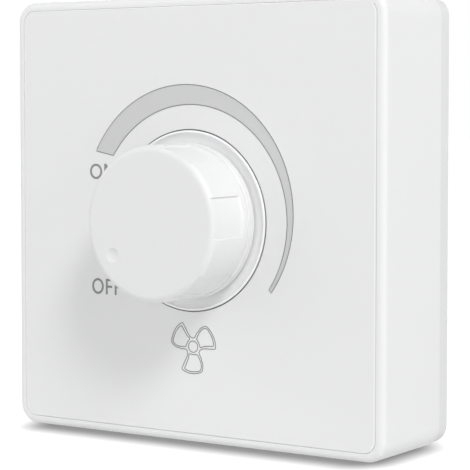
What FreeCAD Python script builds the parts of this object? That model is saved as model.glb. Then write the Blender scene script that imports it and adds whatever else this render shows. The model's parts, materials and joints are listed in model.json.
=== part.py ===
import FreeCAD, Part
import math
import os

os.makedirs("parts", exist_ok=True)

# A surface mounted wall control for a fan: a deep square shell on a back plate, a clipped-on front
# plate, and a round knob that turns a potentiometer with an on and off switch.
# Millimetres. X to the right, Y from the room into the wall, Z up.
# The origin is the centre of the back face, on the wall.

# Outside of the box
face_width = 86.0
face_height = 86.0
body_depth = 25.0
corner_radius = 4.0
front_edge_radius = 1.2
rim_width = 1.7
shell_wall = 2.2
shell_front_wall = 2.0
fascia_recess = 3.0
fascia_thickness = 1.5
fascia_corner_radius = 2.6
fascia_edge_radius = 0.15
fascia_skirt = 1.4
seam_gap = 0.03

# Back plate and its fixings
plate_thickness = 2.2
plate_edge_height = 3.6
plate_inset = 0.25
plate_rib_height = 3.0
plate_rib_thickness = 1.4
plate_rib_clearance = 0.15
wall_screw_spacing = 60.3
wall_slot_length = 9.0
wall_slot_width = 4.4
wall_pad_width = 2.4
wall_pad_height = 0.8
cable_hole_width = 26.0
cable_hole_height = 12.0
cable_hole_radius = 4.0
cable_hole_inset = 13.0
pillar_inset_x = 7.2
pillar_inset_z = 7.2
pillar_radius = 4.2
pillar_height = 6.0

# Cover screws and their brass inserts
screw_shank_radius = 1.5
screw_head_radius = 2.75
screw_head_height = 2.0
screw_length = 6.6
screw_seat = 1.8
screw_clearance = 0.2
screw_access_clearance = 0.4
tube_wall = 1.3
web_thickness = 1.2
insert_radius = 2.1
insert_length = 5.0
thread_clearance = 0.03

# Front plate clips
clip_width = 8.0
clip_thickness = 1.2
clip_offset_x = 22.0
clip_inset = 6.2
clip_hook = 0.8
clip_hook_height = 1.9
clip_clearance = 0.3

# Dial ring round the knob
dial_radius = 17.45
dial_gap = 0.15
dial_lip_rise = 0.25
dial_lip_width = 0.65
dial_dish_depth = 0.45
dial_dish_radius = 15.4
dial_dish_sag = 0.1
dial_floor = 1.0
dial_wall = 1.3
dial_hole_radius = 5.2
spigot_radius = 12.9
spigot_wall = 1.2
spigot_clearance = 0.15
spigot_hook = 0.6
spigot_hook_height = 1.1
spigot_count = 4
spigot_angle = 24.0

# Knob
knob_height = 13.2
knob_radius = 14.85
knob_edge_radius = 1.3
flange_radius = 15.05
flange_height = 1.95
flange_edge_radius = 0.3
groove_width = 0.35
groove_depth = 0.12
knob_wall = 1.8
knob_face_wall = 1.8
knob_floor_gap = 0.5
hub_floor_gap = 0.8
hub_radius = 5.2
knob_rib_thickness = 1.1
knob_rib_drop = 4.0
recess_count = 6
recess_angle = 30.6
recess_depth = 0.35
recess_end_height = 3.4
recess_ramp = 1.2
dimple_circle_radius = 10.6
dimple_radius = 1.45
dimple_depth = 0.35
pointer_angle = 215.7
turn_range = 250.0

# Shaft, and the spring leaf that grips its flat
shaft_radius = 3.0
shaft_flat = 1.5
shaft_flat_length = 9.5
shaft_tip_gap = 1.0
shaft_tip_chamfer = 0.5
shaft_running_clearance = 0.04
shaft_spigot_radius = 2.3
knob_fit = 0.05
flat_end_clearance = 0.3
leaf_width = 3.4
leaf_thickness = 0.3
leaf_length = 6.6
leaf_bow = 0.45
ring_groove_radius = 2.4
ring_radius = 4.4
ring_thickness = 0.6
ring_play = 0.1

# Potentiometer
bushing_radius = 3.5
thread_show = 1.2
washer_thickness = 0.5
washer_radius = 5.2
nut_thickness = 2.0
nut_across_flats = 10.0
pot_radius = 8.2
pot_plate_thickness = 1.2
wafer_thickness = 1.2
wafer_tongue_width = 14.0
wafer_tongue_reach = 11.6
terminal_width = 1.3
terminal_thickness = 0.5
terminal_edge = 1.0
terminal_side_edge = 2.0
terminal_rivet_length = 1.4
can_thickness = 0.5
rotor_radius = 6.4
rotor_thickness = 1.2
rotor_gap = 0.3
stop_lug_angle = 12.0
stop_tab_angle = 8.0
stop_play = 2.5
stop_tab_depth = 0.7
cam_circle_radius = 4.6
cam_radius = 0.9
cam_reach = 2.4
wiper_thickness = 0.25
wiper_gap = 0.1
lug_width = 2.8
lug_thickness = 1.2
lug_clearance = 0.15

# Switch behind the potentiometer
switch_radius = 8.0
switch_height = 3.8
switch_wall = 1.1
switch_floor = 1.0
blade_thickness = 0.3
blade_depth = 2.0

# Circuit board
board_side_margin = 2.0
board_bottom = -21.0
board_top = 31.5
board_thickness = 1.6
standoff_height = 2.8
standoff_radius = 2.6
board_screw_inset = 3.0
board_screw_radius = 1.2
board_screw_length = 6.0
board_screw_head_radius = 2.2
board_screw_head_height = 1.5
lead_radius = 0.3
lead_clearance = 0.12
lead_tail = 0.8

# Heat sink bracket and triac
sink_clearance = 2.5
sink_thickness = 1.5
sink_width = 44.0
sink_bottom = -9.5
sink_top = 22.5
sink_bend_radius = 1.0
sink_leg_bottom = -4.0
sink_leg_top = 6.0
sink_tab_width = 5.0
triac_side_gap = 1.0
triac_bottom = 6.4
triac_width = 10.0
triac_body_height = 9.2
triac_body_depth = 3.1
triac_tab_height = 15.5
triac_tab_thickness = 1.3
triac_hole_drop = 2.8
triac_leg_pitch = 2.54
triac_leg_width = 0.8
triac_leg_thickness = 0.5
triac_leg_reach = 2.2

# Terminal block
block_width = 18.0
block_height = 9.0
block_depth = 9.0
block_bottom = -20.5
cage_size = 5.0
cage_clearance = 0.15
cage_depth = 5.2
wire_mouth_radius = 1.9
block_screw_radius = 1.4
block_screw_head_radius = 2.0

# Choke
choke_inset = 12.5
choke_drop = 8.1
choke_outer_radius = 6.5
choke_inner_radius = 3.2
choke_height = 5.6
wire_thickness = 0.7
turn_count = 12

# Small parts on the board: their sizes, and their places from the potentiometer or the board's edge
film_length = 13.0
film_width = 6.0
film_depth = 9.0
film_pin_spacing = 10.0
film_inset = 13.4
film_drop = 4.3
snubber_length = 12.0
snubber_width = 4.6
snubber_depth = 7.6
snubber_pin_spacing = 10.0
snubber_x = 3.2
snubber_z = 15.5
timing_length = 9.6
timing_width = 4.8
timing_depth = 7.0
timing_pin_spacing = 7.5
timing_x = -14.2
timing_z = 2.2
case_corner_radius = 0.5
case_edge_radius = 0.4
resistor_radius = 1.15
resistor_half = 3.15
resistor_foot = 5.0
resistor_x = -14.5
resistor_levels = (11.4, 14.7, -6.3)
diac_radius = 0.9
diac_half = 2.0
diac_foot = 3.8
diac_x = -14.5
diac_z = -9.0
fuse_radius = 2.2
fuse_half = 4.6
fuse_cap_length = 2.2
fuse_lead_reach = 1.9
fuse_x = 13.5
fuse_z = -4.0
varistor_radius = 3.9
varistor_half = 1.6
varistor_pin_spacing = 5.0
varistor_x = -15.2
varistor_z = -13.4
board_part_gap = 0.1

# Levels from the wall outwards
wall_y = 0.0
plate_front_y = wall_y - plate_thickness
plate_edge_y = wall_y - plate_edge_height
front_y = wall_y - body_depth
fascia_rear_y = front_y + fascia_thickness
shelf_y = front_y + fascia_recess
shell_inner_y = shelf_y + shell_front_wall
board_rear_y = plate_front_y - standoff_height
board_front_y = board_rear_y - board_thickness
tail_y = board_rear_y + lead_tail
sink_front_y = shell_inner_y + sink_clearance
sink_rear_y = sink_front_y + sink_thickness
pot_plate_rear_y = sink_rear_y + pot_plate_thickness
wafer_rear_y = pot_plate_rear_y + wafer_thickness
switch_front_y = board_front_y - switch_height
can_inner_y = switch_front_y - can_thickness
rotor_rear_y = can_inner_y - rotor_gap
rotor_front_y = rotor_rear_y - rotor_thickness
washer_front_y = sink_front_y - washer_thickness
nut_front_y = washer_front_y - nut_thickness
bushing_front_y = nut_front_y - thread_show
pillar_front_y = plate_front_y - pillar_height
seat_front_y = pillar_front_y - screw_seat
dish_floor_y = front_y + dial_dish_depth
dial_floor_rear_y = dish_floor_y + dial_floor
knob_rear_y = dish_floor_y - knob_floor_gap
knob_front_y = front_y - knob_height
knob_inner_y = knob_front_y + knob_face_wall
hub_rear_y = dish_floor_y - hub_floor_gap
shaft_tip_y = knob_inner_y + shaft_tip_gap

# Places that follow the outside, the bracket and the board
pillar_x = face_width / 2 - pillar_inset_x
pillar_z = face_height / 2 - pillar_inset_z
clip_level = face_height / 2 - clip_inset
cable_hole_z = cable_hole_inset - face_height / 2
board_width = sink_width + 2 * board_side_margin
board_screw_x = board_width / 2 - board_screw_inset
board_screw_low = board_bottom + board_screw_inset
board_screw_high = board_top - board_screw_inset
triac_x = sink_width / 2 - sink_thickness - triac_side_gap - triac_width / 2
choke_x = choke_inset - board_width / 2
choke_z = board_top - choke_drop
film_x = board_width / 2 - film_inset
film_z = board_top - film_drop

pieces = {}
y_axis = FreeCAD.Vector(0, 1, 0)
origin = FreeCAD.Vector(0, 0, 0)


def vector(x, y, z):
    return FreeCAD.Vector(x, y, z)


def rod(radius, y_low, y_high, x=0.0, z=0.0):
    # A round bar along Y between two levels.
    return Part.makeCylinder(radius, y_high - y_low, vector(x, y_low, z), y_axis)


def block(x_low, x_high, y_low, y_high, z_low, z_high):
    corner = vector(x_low, y_low, z_low)
    return Part.makeBox(x_high - x_low, y_high - y_low, z_high - z_low, corner)


def fuse(shapes):
    # One clean solid from touching shapes.
    return shapes[0].multiFuse(shapes[1:]).removeSplitter()


def rounded_slab(width, height, radius, y_low, y_high, x=0.0, z=0.0):
    # A rounded rectangle in X and Z, drawn out along Y.
    half_x = width / 2.0
    half_z = height / 2.0
    bend = radius * math.sqrt(0.5)
    edges = []
    previous = None
    for angle, sign_x, sign_z in ((0, 1, 1), (90, -1, 1), (180, -1, -1), (270, 1, -1)):
        centre_x = x + sign_x * (half_x - radius)
        centre_z = z + sign_z * (half_z - radius)
        start_angle = math.radians(angle)
        end_angle = math.radians(angle + 90)
        start = vector(centre_x + radius * math.cos(start_angle), y_low,
                       centre_z + radius * math.sin(start_angle))
        middle = vector(centre_x + sign_x * bend, y_low, centre_z + sign_z * bend)
        end = vector(centre_x + radius * math.cos(end_angle), y_low,
                     centre_z + radius * math.sin(end_angle))
        if previous is None:
            first = start
        elif previous.distanceToPoint(start) > 1e-6:
            edges.append(Part.LineSegment(previous, start).toShape())
        edges.append(Part.Arc(start, middle, end).toShape())
        previous = end
    if previous.distanceToPoint(first) > 1e-6:
        edges.append(Part.LineSegment(previous, first).toShape())
    return Part.Face(Part.Wire(edges)).extrude(vector(0, y_high - y_low, 0))


def outline_face(points):
    # A flat face from straight runs, and arcs written as a pair of middle and end points.
    edges = []
    start = points[0]
    here = start
    for step in points[1:]:
        if isinstance(step, tuple):
            edges.append(Part.Arc(here, step[0], step[1]).toShape())
            here = step[1]
        else:
            edges.append(Part.LineSegment(here, step).toShape())
            here = step
    if here.distanceToPoint(start) > 1e-6:
        edges.append(Part.LineSegment(here, start).toShape())
    return Part.Face(Part.Wire(edges))


def turned(points, degrees=360.0):
    # A profile of radius and level, turned about the Y axis.
    steps = [vector(*points[0], 0)]
    for point in points[1:]:
        if isinstance(point[0], tuple):
            steps.append((vector(*point[0], 0), vector(*point[1], 0)))
        else:
            steps.append(vector(*point, 0))
    return outline_face(steps).revolve(origin, y_axis, degrees)


def bend_point(centre, radius, degrees):
    # The middle point of a small arc in a profile.
    angle = math.radians(degrees)
    return (centre[0] + radius * math.cos(angle), centre[1] + radius * math.sin(angle))


def placed(shape, degrees):
    # Turned about the knob's axis, anticlockwise as seen from the room.
    copy = shape.copy()
    copy.rotate(origin, y_axis, -degrees)
    return copy


def hexagon(across_flats, y_low, y_high, x=0.0, z=0.0):
    reach = across_flats / math.sqrt(3.0)
    corners = []
    for index in range(7):
        angle = math.radians(60 * index)
        corners.append(vector(x + reach * math.cos(angle), y_low, z + reach * math.sin(angle)))
    prism = Part.Face(Part.makePolygon(corners)).extrude(vector(0, y_high - y_low, 0))
    chamfer = (y_high - y_low) * 0.2
    cone = Part.makeCone(reach * 0.93, reach * 0.93 + chamfer * 3.0, chamfer * 3.0,
                         vector(x, y_low, z), y_axis)
    tail = rod(reach * 1.05, y_low + chamfer, y_high, x, z)
    return prism.common(cone.fuse(tail))


def pan_head_screw(head_y, radius, head_radius, head_height, length, x, z, degrees=0.0):
    # Domed head in front of its seat, cross recess, plain shank with a short point.
    edge = head_height * 0.35
    crown = (head_radius * 0.55, head_y - head_height * 0.93)
    profile = [(0, head_y - head_height), (crown, (head_radius, head_y - edge)),
               (head_radius, head_y), (radius, head_y), (radius, head_y + length - radius * 0.5),
               (radius * 0.6, head_y + length), (0, head_y + length)]
    screw = turned(profile)
    bar = head_radius * 0.6
    arm = head_radius * 0.12
    top = head_y - head_height - 0.1
    bottom = head_y - head_height * 0.45
    cross = block(-bar, bar, top, bottom, -arm, arm).fuse(block(-arm, arm, top, bottom, -bar, bar))
    screw = screw.cut(cross)
    screw.rotate(origin, y_axis, degrees)
    screw.translate(vector(x, 0, z))
    return screw


# Back plate
# A full size tray: a floor, a thicker edge that shows behind the shell, a locating rib inside the
# shell, slotted wall holes in raised pads,
# a cable hole, board posts and the two pillars of the cover screws.
plate_width = face_width - 2 * plate_inset
plate_height = face_height - 2 * plate_inset
cavity_width = face_width - 2 * shell_wall
cavity_height = face_height - 2 * shell_wall
cavity_radius = max(corner_radius - shell_wall, 0.6)
rib_width = cavity_width - 2 * plate_rib_clearance
rib_height = cavity_height - 2 * plate_rib_clearance
rib_radius = cavity_radius
rib_front_y = plate_edge_y - plate_rib_height
pillar_places = ((-pillar_x, pillar_z), (pillar_x, -pillar_z))
board_screw_places = []
for level in (board_screw_low, board_screw_high):
    for side in (-1, 1):
        board_screw_places.append((side * board_screw_x, level))

back_parts = [rounded_slab(plate_width, plate_height, corner_radius - plate_inset,
                           plate_front_y, wall_y)]
rib = rounded_slab(rib_width, rib_height, rib_radius, rib_front_y, plate_front_y)
rib_inside = rounded_slab(rib_width - 2 * plate_rib_thickness, rib_height - 2 * plate_rib_thickness,
                          max(rib_radius - plate_rib_thickness, 0.3), rib_front_y - 1, plate_front_y)
rib = rib.cut(rib_inside)
back_parts.append(rib)
plate_edge = rounded_slab(plate_width, plate_height, corner_radius - plate_inset,
                          plate_edge_y, plate_front_y)
back_parts.append(plate_edge.cut(rib_inside))
for side in (-1, 1):
    pad = rounded_slab(wall_slot_length + 2 * wall_pad_width, wall_slot_width + 2 * wall_pad_width,
                       wall_slot_width / 2 + wall_pad_width, plate_front_y - wall_pad_height,
                       plate_front_y, side * wall_screw_spacing / 2, 0)
    back_parts.append(pad.common(rib_inside))
for x, z in board_screw_places:
    back_parts.append(rod(standoff_radius, board_rear_y, plate_front_y, x, z))
for x, z in pillar_places:
    back_parts.append(rod(pillar_radius, pillar_front_y, plate_front_y, x, z))
back_plate = fuse(back_parts)
for side in (-1, 1):
    back_plate = back_plate.cut(rounded_slab(wall_slot_length, wall_slot_width,
                                             wall_slot_width / 2,
                                             plate_front_y - wall_pad_height - 1, wall_y + 1,
                                             side * wall_screw_spacing / 2, 0))
back_plate = back_plate.cut(rounded_slab(cable_hole_width, cable_hole_height, cable_hole_radius,
                                         plate_front_y - 1, wall_y + 1, 0, cable_hole_z))
board_screw_seat_y = board_front_y
for x, z in board_screw_places:
    pilot_end = board_screw_seat_y + board_screw_length + 0.3
    back_plate = back_plate.cut(rod(board_screw_radius + thread_clearance, board_rear_y - 1,
                                    min(pilot_end, wall_y - 0.5), x, z))
insert_bottom_y = pillar_front_y + insert_length
for x, z in pillar_places:
    back_plate = back_plate.cut(rod(insert_radius + thread_clearance, pillar_front_y - 1,
                                    insert_bottom_y, x, z))
pieces["back_plate"] = back_plate

inserts = []
for x, z in pillar_places:
    insert = rod(insert_radius, pillar_front_y, insert_bottom_y, x, z)
    inserts.append(insert.cut(rod(screw_shank_radius + thread_clearance, pillar_front_y - 1,
                                  insert_bottom_y + 1, x, z)))
pieces["shell_inserts"] = Part.makeCompound(inserts)

# Front shell
# One deep moulding: walls, an inner front wall as a shelf for the front plate, screw tubes tied
# to the walls by webs, windows for the clips and the round opening of the dial.
outer = rounded_slab(face_width, face_height, corner_radius, front_y, plate_edge_y)
front_edges = []
for edge in outer.Edges:
    box = edge.BoundBox
    if box.YMax < front_y + 0.01:
        front_edges.append(edge)
outer = outer.makeFillet(front_edge_radius, front_edges)
cavity = rounded_slab(cavity_width, cavity_height, cavity_radius, shell_inner_y, plate_edge_y + 1)
pocket_width = face_width - 2 * rim_width
pocket_height = face_height - 2 * rim_width
pocket = rounded_slab(pocket_width, pocket_height, fascia_corner_radius, front_y - 1, shelf_y)
shell = outer.cut(cavity).cut(pocket)
tube_radius = screw_head_radius + screw_access_clearance + tube_wall
shell_additions = [shell]
for x, z in pillar_places:
    side_x = math.copysign(1, x)
    side_z = math.copysign(1, z)
    shell_additions.append(rod(tube_radius, shelf_y + shell_front_wall / 2, pillar_front_y, x, z))
    wall_x = side_x * (cavity_width / 2 + 0.2)
    wall_z = side_z * (cavity_height / 2 + 0.2)
    web_low = shell_inner_y - 0.1
    shell_additions.append(block(min(x, wall_x), max(x, wall_x), web_low, seat_front_y,
                                 z - web_thickness / 2, z + web_thickness / 2))
    shell_additions.append(block(x - web_thickness / 2, x + web_thickness / 2, web_low, seat_front_y,
                                 min(z, wall_z), max(z, wall_z)))
shell = fuse(shell_additions)
for x, z in pillar_places:
    shell = shell.cut(rod(screw_head_radius + screw_access_clearance, front_y - 1, seat_front_y, x, z))
    shell = shell.cut(rod(screw_shank_radius + screw_clearance, front_y, pillar_front_y + 1, x, z))
shell = shell.cut(rod(spigot_radius + spigot_clearance, front_y, shell_inner_y + 1))
for side_x in (-1, 1):
    for side_z in (-1, 1):
        inner = clip_level - clip_thickness / 2 - clip_clearance
        outer_edge = clip_level + clip_thickness / 2 + clip_hook + clip_clearance
        low = min(side_z * inner, side_z * outer_edge)
        high = max(side_z * inner, side_z * outer_edge)
        half = clip_width / 2 + clip_clearance
        shell = shell.cut(block(side_x * clip_offset_x - half, side_x * clip_offset_x + half,
                                shelf_y - 0.5, shell_inner_y + 0.5, low, high))
pieces["front_shell"] = shell

screws = []
for x, z in pillar_places:
    screws.append(pan_head_screw(seat_front_y, screw_shank_radius, screw_head_radius,
                                 screw_head_height, screw_length, x, z, 20.0))
pieces["shell_screws"] = Part.makeCompound(screws)

# Front plate
# A thin plate with a soft edge, a skirt that stands on the shelf, the round opening and four hooks.
fascia_width = pocket_width - 2 * seam_gap
fascia_height = pocket_height - 2 * seam_gap
fascia_radius = fascia_corner_radius - seam_gap
fascia = rounded_slab(fascia_width, fascia_height, fascia_radius, front_y, fascia_rear_y)
front_edges = [edge for edge in fascia.Edges if edge.BoundBox.YMax < front_y + 0.01]
fascia = fascia.makeFillet(fascia_edge_radius, front_edges)
skirt = rounded_slab(fascia_width, fascia_height, fascia_radius, fascia_rear_y, shelf_y)
skirt = skirt.cut(rounded_slab(fascia_width - 2 * fascia_skirt, fascia_height - 2 * fascia_skirt,
                               max(fascia_radius - fascia_skirt, 0.4), fascia_rear_y, shelf_y + 1))
fascia_parts = [fascia, skirt]
hook_catch_y = shell_inner_y + 0.15
hook_end_y = hook_catch_y + clip_hook_height
for side_x in (-1, 1):
    for side_z in (-1, 1):
        near = clip_level - clip_thickness / 2
        far = clip_level + clip_thickness / 2
        x_low = side_x * clip_offset_x - clip_width / 2
        hook = [(near, fascia_rear_y), (far, fascia_rear_y), (far, hook_catch_y),
                (far + clip_hook, hook_catch_y), (far + clip_hook, hook_catch_y + 0.4),
                (far - clip_thickness * 0.4, hook_end_y), (near, hook_end_y)]
        corners = [vector(x_low, level, side_z * reach) for reach, level in hook]
        fascia_parts.append(outline_face(corners).extrude(vector(clip_width, 0, 0)))
fascia = fuse(fascia_parts)
opening_radius = dial_radius + dial_gap
opening_round = turned([(opening_radius, front_y - 1), (opening_radius, shell_inner_y),
                        (0, shell_inner_y), (0, front_y - 1)])
opening_flare = turned([(opening_radius - 0.1, front_y - 1),
                        (opening_radius + fascia_edge_radius, front_y - 1),
                        (opening_radius + fascia_edge_radius, front_y),
                        (bend_point((opening_radius + fascia_edge_radius,
                                     front_y + fascia_edge_radius), fascia_edge_radius, 225),
                         (opening_radius, front_y + fascia_edge_radius)),
                        (opening_radius - 0.1, front_y + fascia_edge_radius)])
fascia = fascia.cut(opening_round).cut(opening_flare)
pieces["fascia_plate"] = fascia

# Dial ring
# A rounded lip round a very shallow dish whose side is a soft hollow, standing on the shelf, with
# hooks behind the inner front wall.
lip_inner = dial_radius - dial_lip_width
lip_round = dial_lip_width / 2
lip_top_y = front_y - dial_lip_rise
under_y = shelf_y
hollow_middle = ((dial_dish_radius + lip_inner) / 2,
                 (dish_floor_y + lip_top_y + lip_round) / 2 + dial_dish_sag)
ring_profile = [(dial_hole_radius, dish_floor_y), (dial_dish_radius, dish_floor_y),
                (hollow_middle, (lip_inner, lip_top_y + lip_round)),
                ((lip_inner + lip_round, lip_top_y), (dial_radius, lip_top_y + lip_round)),
                (dial_radius, under_y), (dial_radius - dial_wall, under_y),
                (dial_radius - dial_wall, dial_floor_rear_y), (dial_hole_radius, dial_floor_rear_y)]
dial_parts = [turned(ring_profile)]
catch_y = shell_inner_y + 0.15
claw_end_y = catch_y + spigot_hook_height
claw_profile = [(spigot_radius - spigot_wall, dial_floor_rear_y), (spigot_radius, dial_floor_rear_y),
                (spigot_radius, catch_y), (spigot_radius + spigot_hook, catch_y),
                (spigot_radius + spigot_hook, catch_y + 0.3),
                (spigot_radius - spigot_wall * 0.3, claw_end_y),
                (spigot_radius - spigot_wall, claw_end_y)]
for index in range(spigot_count):
    claw = turned(claw_profile, spigot_angle)
    dial_parts.append(placed(claw, spigot_angle / 2 + 45 + 360.0 * index / spigot_count))
pieces["dial_bezel"] = fuse(dial_parts)

# Knob
# Turned cap with a flange, a fine groove above it, and a rounded front edge. Shallow recesses run
# from the front edge to short of the flange, and a round dimple marks the pointer.
flange_front_y = knob_rear_y - flange_height
groove_front_y = flange_front_y - groove_width
edge_centre = (knob_radius - knob_edge_radius, knob_front_y + knob_edge_radius)
flange_corner = (flange_radius - flange_edge_radius, knob_rear_y - flange_edge_radius)
cap_inner = knob_radius - knob_wall
cap_profile = [(0, knob_front_y), (knob_radius - knob_edge_radius, knob_front_y),
               (bend_point(edge_centre, knob_edge_radius, -45), (knob_radius, edge_centre[1])),
               (knob_radius, groove_front_y), (knob_radius - groove_depth, groove_front_y),
               (knob_radius - groove_depth, flange_front_y),
               (flange_radius - 0.15, flange_front_y), (flange_radius, flange_front_y + 0.15),
               (flange_radius, flange_corner[1]),
               (bend_point(flange_corner, flange_edge_radius, 45), (flange_corner[0], knob_rear_y)),
               (cap_inner + 0.15, knob_rear_y), (cap_inner, knob_inner_y + 0.8),
               (cap_inner - 0.8, knob_inner_y), (hub_radius, knob_inner_y),
               (hub_radius, hub_rear_y + 0.4), (hub_radius - 0.4, hub_rear_y), (0, hub_rear_y)]
cap = turned(cap_profile)
rib_rear_y = knob_rear_y - knob_rib_drop
ribs = []
for index in range(recess_count):
    arm = block(hub_radius - 0.5, cap_inner + 0.3, knob_inner_y - 0.2, rib_rear_y,
                -knob_rib_thickness / 2, knob_rib_thickness / 2)
    ribs.append(placed(arm, 360.0 * index / recess_count))
cap = fuse([cap] + ribs)
recess_end_y = front_y - recess_end_height
floor_radius = knob_radius - recess_depth
ramp_middle = (floor_radius + recess_depth / 4, recess_end_y - recess_ramp / 2)
recess_profile = [(floor_radius, knob_front_y - 1), (floor_radius, recess_end_y - recess_ramp),
                  (ramp_middle, (knob_radius + 0.01, recess_end_y)), (knob_radius + 1, recess_end_y),
                  (knob_radius + 1, knob_front_y - 1)]
for index in range(recess_count):
    recess = turned(recess_profile, recess_angle)
    middle = 360.0 * (index + 0.5) / recess_count
    cap = cap.cut(placed(recess, middle + recess_angle / 2))
ball_radius = (dimple_radius ** 2 + dimple_depth ** 2) / (2 * dimple_depth)
ball = Part.makeSphere(ball_radius, vector(dimple_circle_radius,
                                           knob_front_y + dimple_depth - ball_radius, 0))
cap = cap.cut(ball)

# The bore is a D, with a pocket beside its flat for the spring leaf.
bore_radius = shaft_radius + knob_fit
bore_end_y = knob_inner_y + knob_fit
bore = rod(bore_radius, bore_end_y, hub_rear_y + 1)
leaf_room = leaf_thickness + leaf_bow
flat_x = shaft_flat + leaf_room
flat_end_y = shaft_tip_y + shaft_flat_length
bore = bore.cut(block(flat_x, bore_radius + 1, bore_end_y - 1, flat_end_y - flat_end_clearance,
                      -bore_radius - 1, bore_radius + 1))
cap = cap.cut(bore)
pieces["knob"] = cap

leaf_middle_y = shaft_tip_y + shaft_tip_chamfer + leaf_length / 2 + 0.4
leaf_low_y = leaf_middle_y - leaf_length / 2
leaf_high_y = leaf_middle_y + leaf_length / 2
leaf_outer = flat_x - 0.02
leaf_points = [vector(leaf_outer, leaf_low_y, -leaf_width / 2),
               (vector(leaf_outer - leaf_bow, leaf_middle_y, -leaf_width / 2),
                vector(leaf_outer, leaf_high_y, -leaf_width / 2)),
               vector(leaf_outer - leaf_thickness, leaf_high_y, -leaf_width / 2),
               (vector(leaf_outer - leaf_thickness - leaf_bow + 0.04, leaf_middle_y, -leaf_width / 2),
                vector(leaf_outer - leaf_thickness, leaf_low_y, -leaf_width / 2))]
pieces["knob_spring"] = outline_face(leaf_points).extrude(vector(0, 0, leaf_width))

# Shaft
# Flat at the knob end, a ring groove in front of the bushing and a spigot for the rotor.
ring_rear_y = bushing_front_y - ring_play
ring_front_y = ring_rear_y - ring_thickness
groove_low_y = ring_front_y - 0.05
groove_high_y = ring_rear_y + 0.05
shoulder_y = rotor_front_y - 0.3
shaft_profile = [(0, shaft_tip_y), (shaft_radius - shaft_tip_chamfer, shaft_tip_y),
                 (shaft_radius, shaft_tip_y + shaft_tip_chamfer), (shaft_radius, groove_low_y),
                 (ring_groove_radius, groove_low_y), (ring_groove_radius, groove_high_y),
                 (shaft_radius, groove_high_y), (shaft_radius, shoulder_y),
                 (shaft_spigot_radius, shoulder_y), (shaft_spigot_radius, rotor_rear_y),
                 (0, rotor_rear_y)]
shaft = turned(shaft_profile)
shaft = shaft.cut(block(shaft_flat, shaft_radius + 1, shaft_tip_y - 1,
                        shaft_tip_y + shaft_flat_length, -shaft_radius - 1, shaft_radius + 1))
pieces["pot_shaft"] = shaft

ring = rod(ring_radius, ring_front_y, ring_rear_y).cut(rod(ring_groove_radius + 0.05,
                                                           ring_front_y - 1, ring_rear_y + 1))
ring = ring.cut(block(0, ring_radius + 1, ring_front_y - 1, ring_rear_y + 1,
                      -ring_groove_radius * 0.8, ring_groove_radius * 0.8))
for degrees in (110, 250):
    notch = rod(0.7, ring_front_y - 1, ring_rear_y + 1, ring_groove_radius + 0.5, 0)
    ring = ring.cut(placed(notch, degrees))
pieces["shaft_ring"] = ring

# Rotor with its stop lug and the cam pin that works the switch
spigot_fit = shaft_spigot_radius + thread_clearance
can_bore_radius = pot_radius - can_thickness
lug_reach = can_bore_radius - rotor_gap
rotor_parts = [turned([(spigot_fit, rotor_front_y), (rotor_radius, rotor_front_y),
                       (rotor_radius, rotor_rear_y), (spigot_fit, rotor_rear_y)])]
lug = turned([(rotor_radius - 0.3, rotor_front_y), (lug_reach, rotor_front_y),
              (lug_reach, rotor_rear_y), (rotor_radius - 0.3, rotor_rear_y)], stop_lug_angle)
rotor_parts.append(placed(lug, stop_lug_angle / 2))
rotor_parts.append(rod(cam_radius, rotor_rear_y - 0.2, rotor_rear_y + cam_reach,
                       cam_circle_radius, 0))
pieces["wiper_rotor"] = fuse(rotor_parts)

# Wiper
# A thin ring on the rotor's front, with two arms that bend forward to the carbon track.
wiper_rear_y = rotor_front_y
wiper_front_y = wiper_rear_y - wiper_thickness
track_y = wafer_rear_y + wiper_gap
track_radius = (shaft_radius + rotor_radius) / 2 + 0.7
wiper_parts = [turned([(track_radius - 0.9, wiper_front_y), (track_radius + 0.9, wiper_front_y),
                       (track_radius + 0.9, wiper_rear_y), (track_radius - 0.9, wiper_rear_y)])]
reach = wiper_front_y - track_y
for degrees in (90, 270):
    arm_points = [vector(0, wiper_front_y + 0.05, 0), vector(-reach * 1.1, track_y + wiper_thickness, 0),
                  vector(-reach * 1.1 - 0.5, track_y + wiper_thickness, 0),
                  vector(-reach * 1.1 - 0.5, track_y, 0), vector(-reach * 1.1 - 0.1, track_y, 0),
                  vector(wiper_thickness, wiper_front_y + 0.05, 0)]
    arm = outline_face(arm_points).extrude(vector(0, 0, 1.2))
    arm.translate(vector(1.0, 0, track_radius - 0.6))
    wiper_parts.append(placed(arm, degrees))
pieces["wiper"] = fuse(wiper_parts)

turning_pieces = ("knob", "knob_spring", "pot_shaft", "shaft_ring", "wiper_rotor", "wiper")
for name in turning_pieces:
    pieces[name] = placed(pieces[name], pointer_angle)

# Potentiometer body
# Bushing and mounting plate in one casting, clamped to the heat sink by a washer and a nut.
bushing = turned([(shaft_radius + shaft_running_clearance, bushing_front_y),
                  (bushing_radius - 0.3, bushing_front_y), (bushing_radius, bushing_front_y + 0.3),
                  (bushing_radius, sink_rear_y), (pot_radius, sink_rear_y),
                  (pot_radius, pot_plate_rear_y),
                  (shaft_radius + shaft_running_clearance, pot_plate_rear_y)])
lug_x = -pot_radius + lug_thickness / 2 + 0.4
turn_lug = block(lug_x - lug_thickness / 2, lug_x + lug_thickness / 2, sink_front_y + 0.1,
                 sink_rear_y + 0.2, -lug_width / 2, lug_width / 2)
pieces["pot_bushing"] = fuse([bushing, turn_lug])

washer_bore = bushing_radius + thread_clearance
washer = rod(washer_radius, washer_front_y, sink_front_y)
pieces["bushing_washer"] = washer.cut(rod(washer_bore, washer_front_y - 1, sink_front_y + 1))
nut = hexagon(nut_across_flats, nut_front_y, washer_front_y)
pieces["bushing_nut"] = nut.cut(rod(washer_bore, nut_front_y - 1, washer_front_y + 1))

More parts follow.
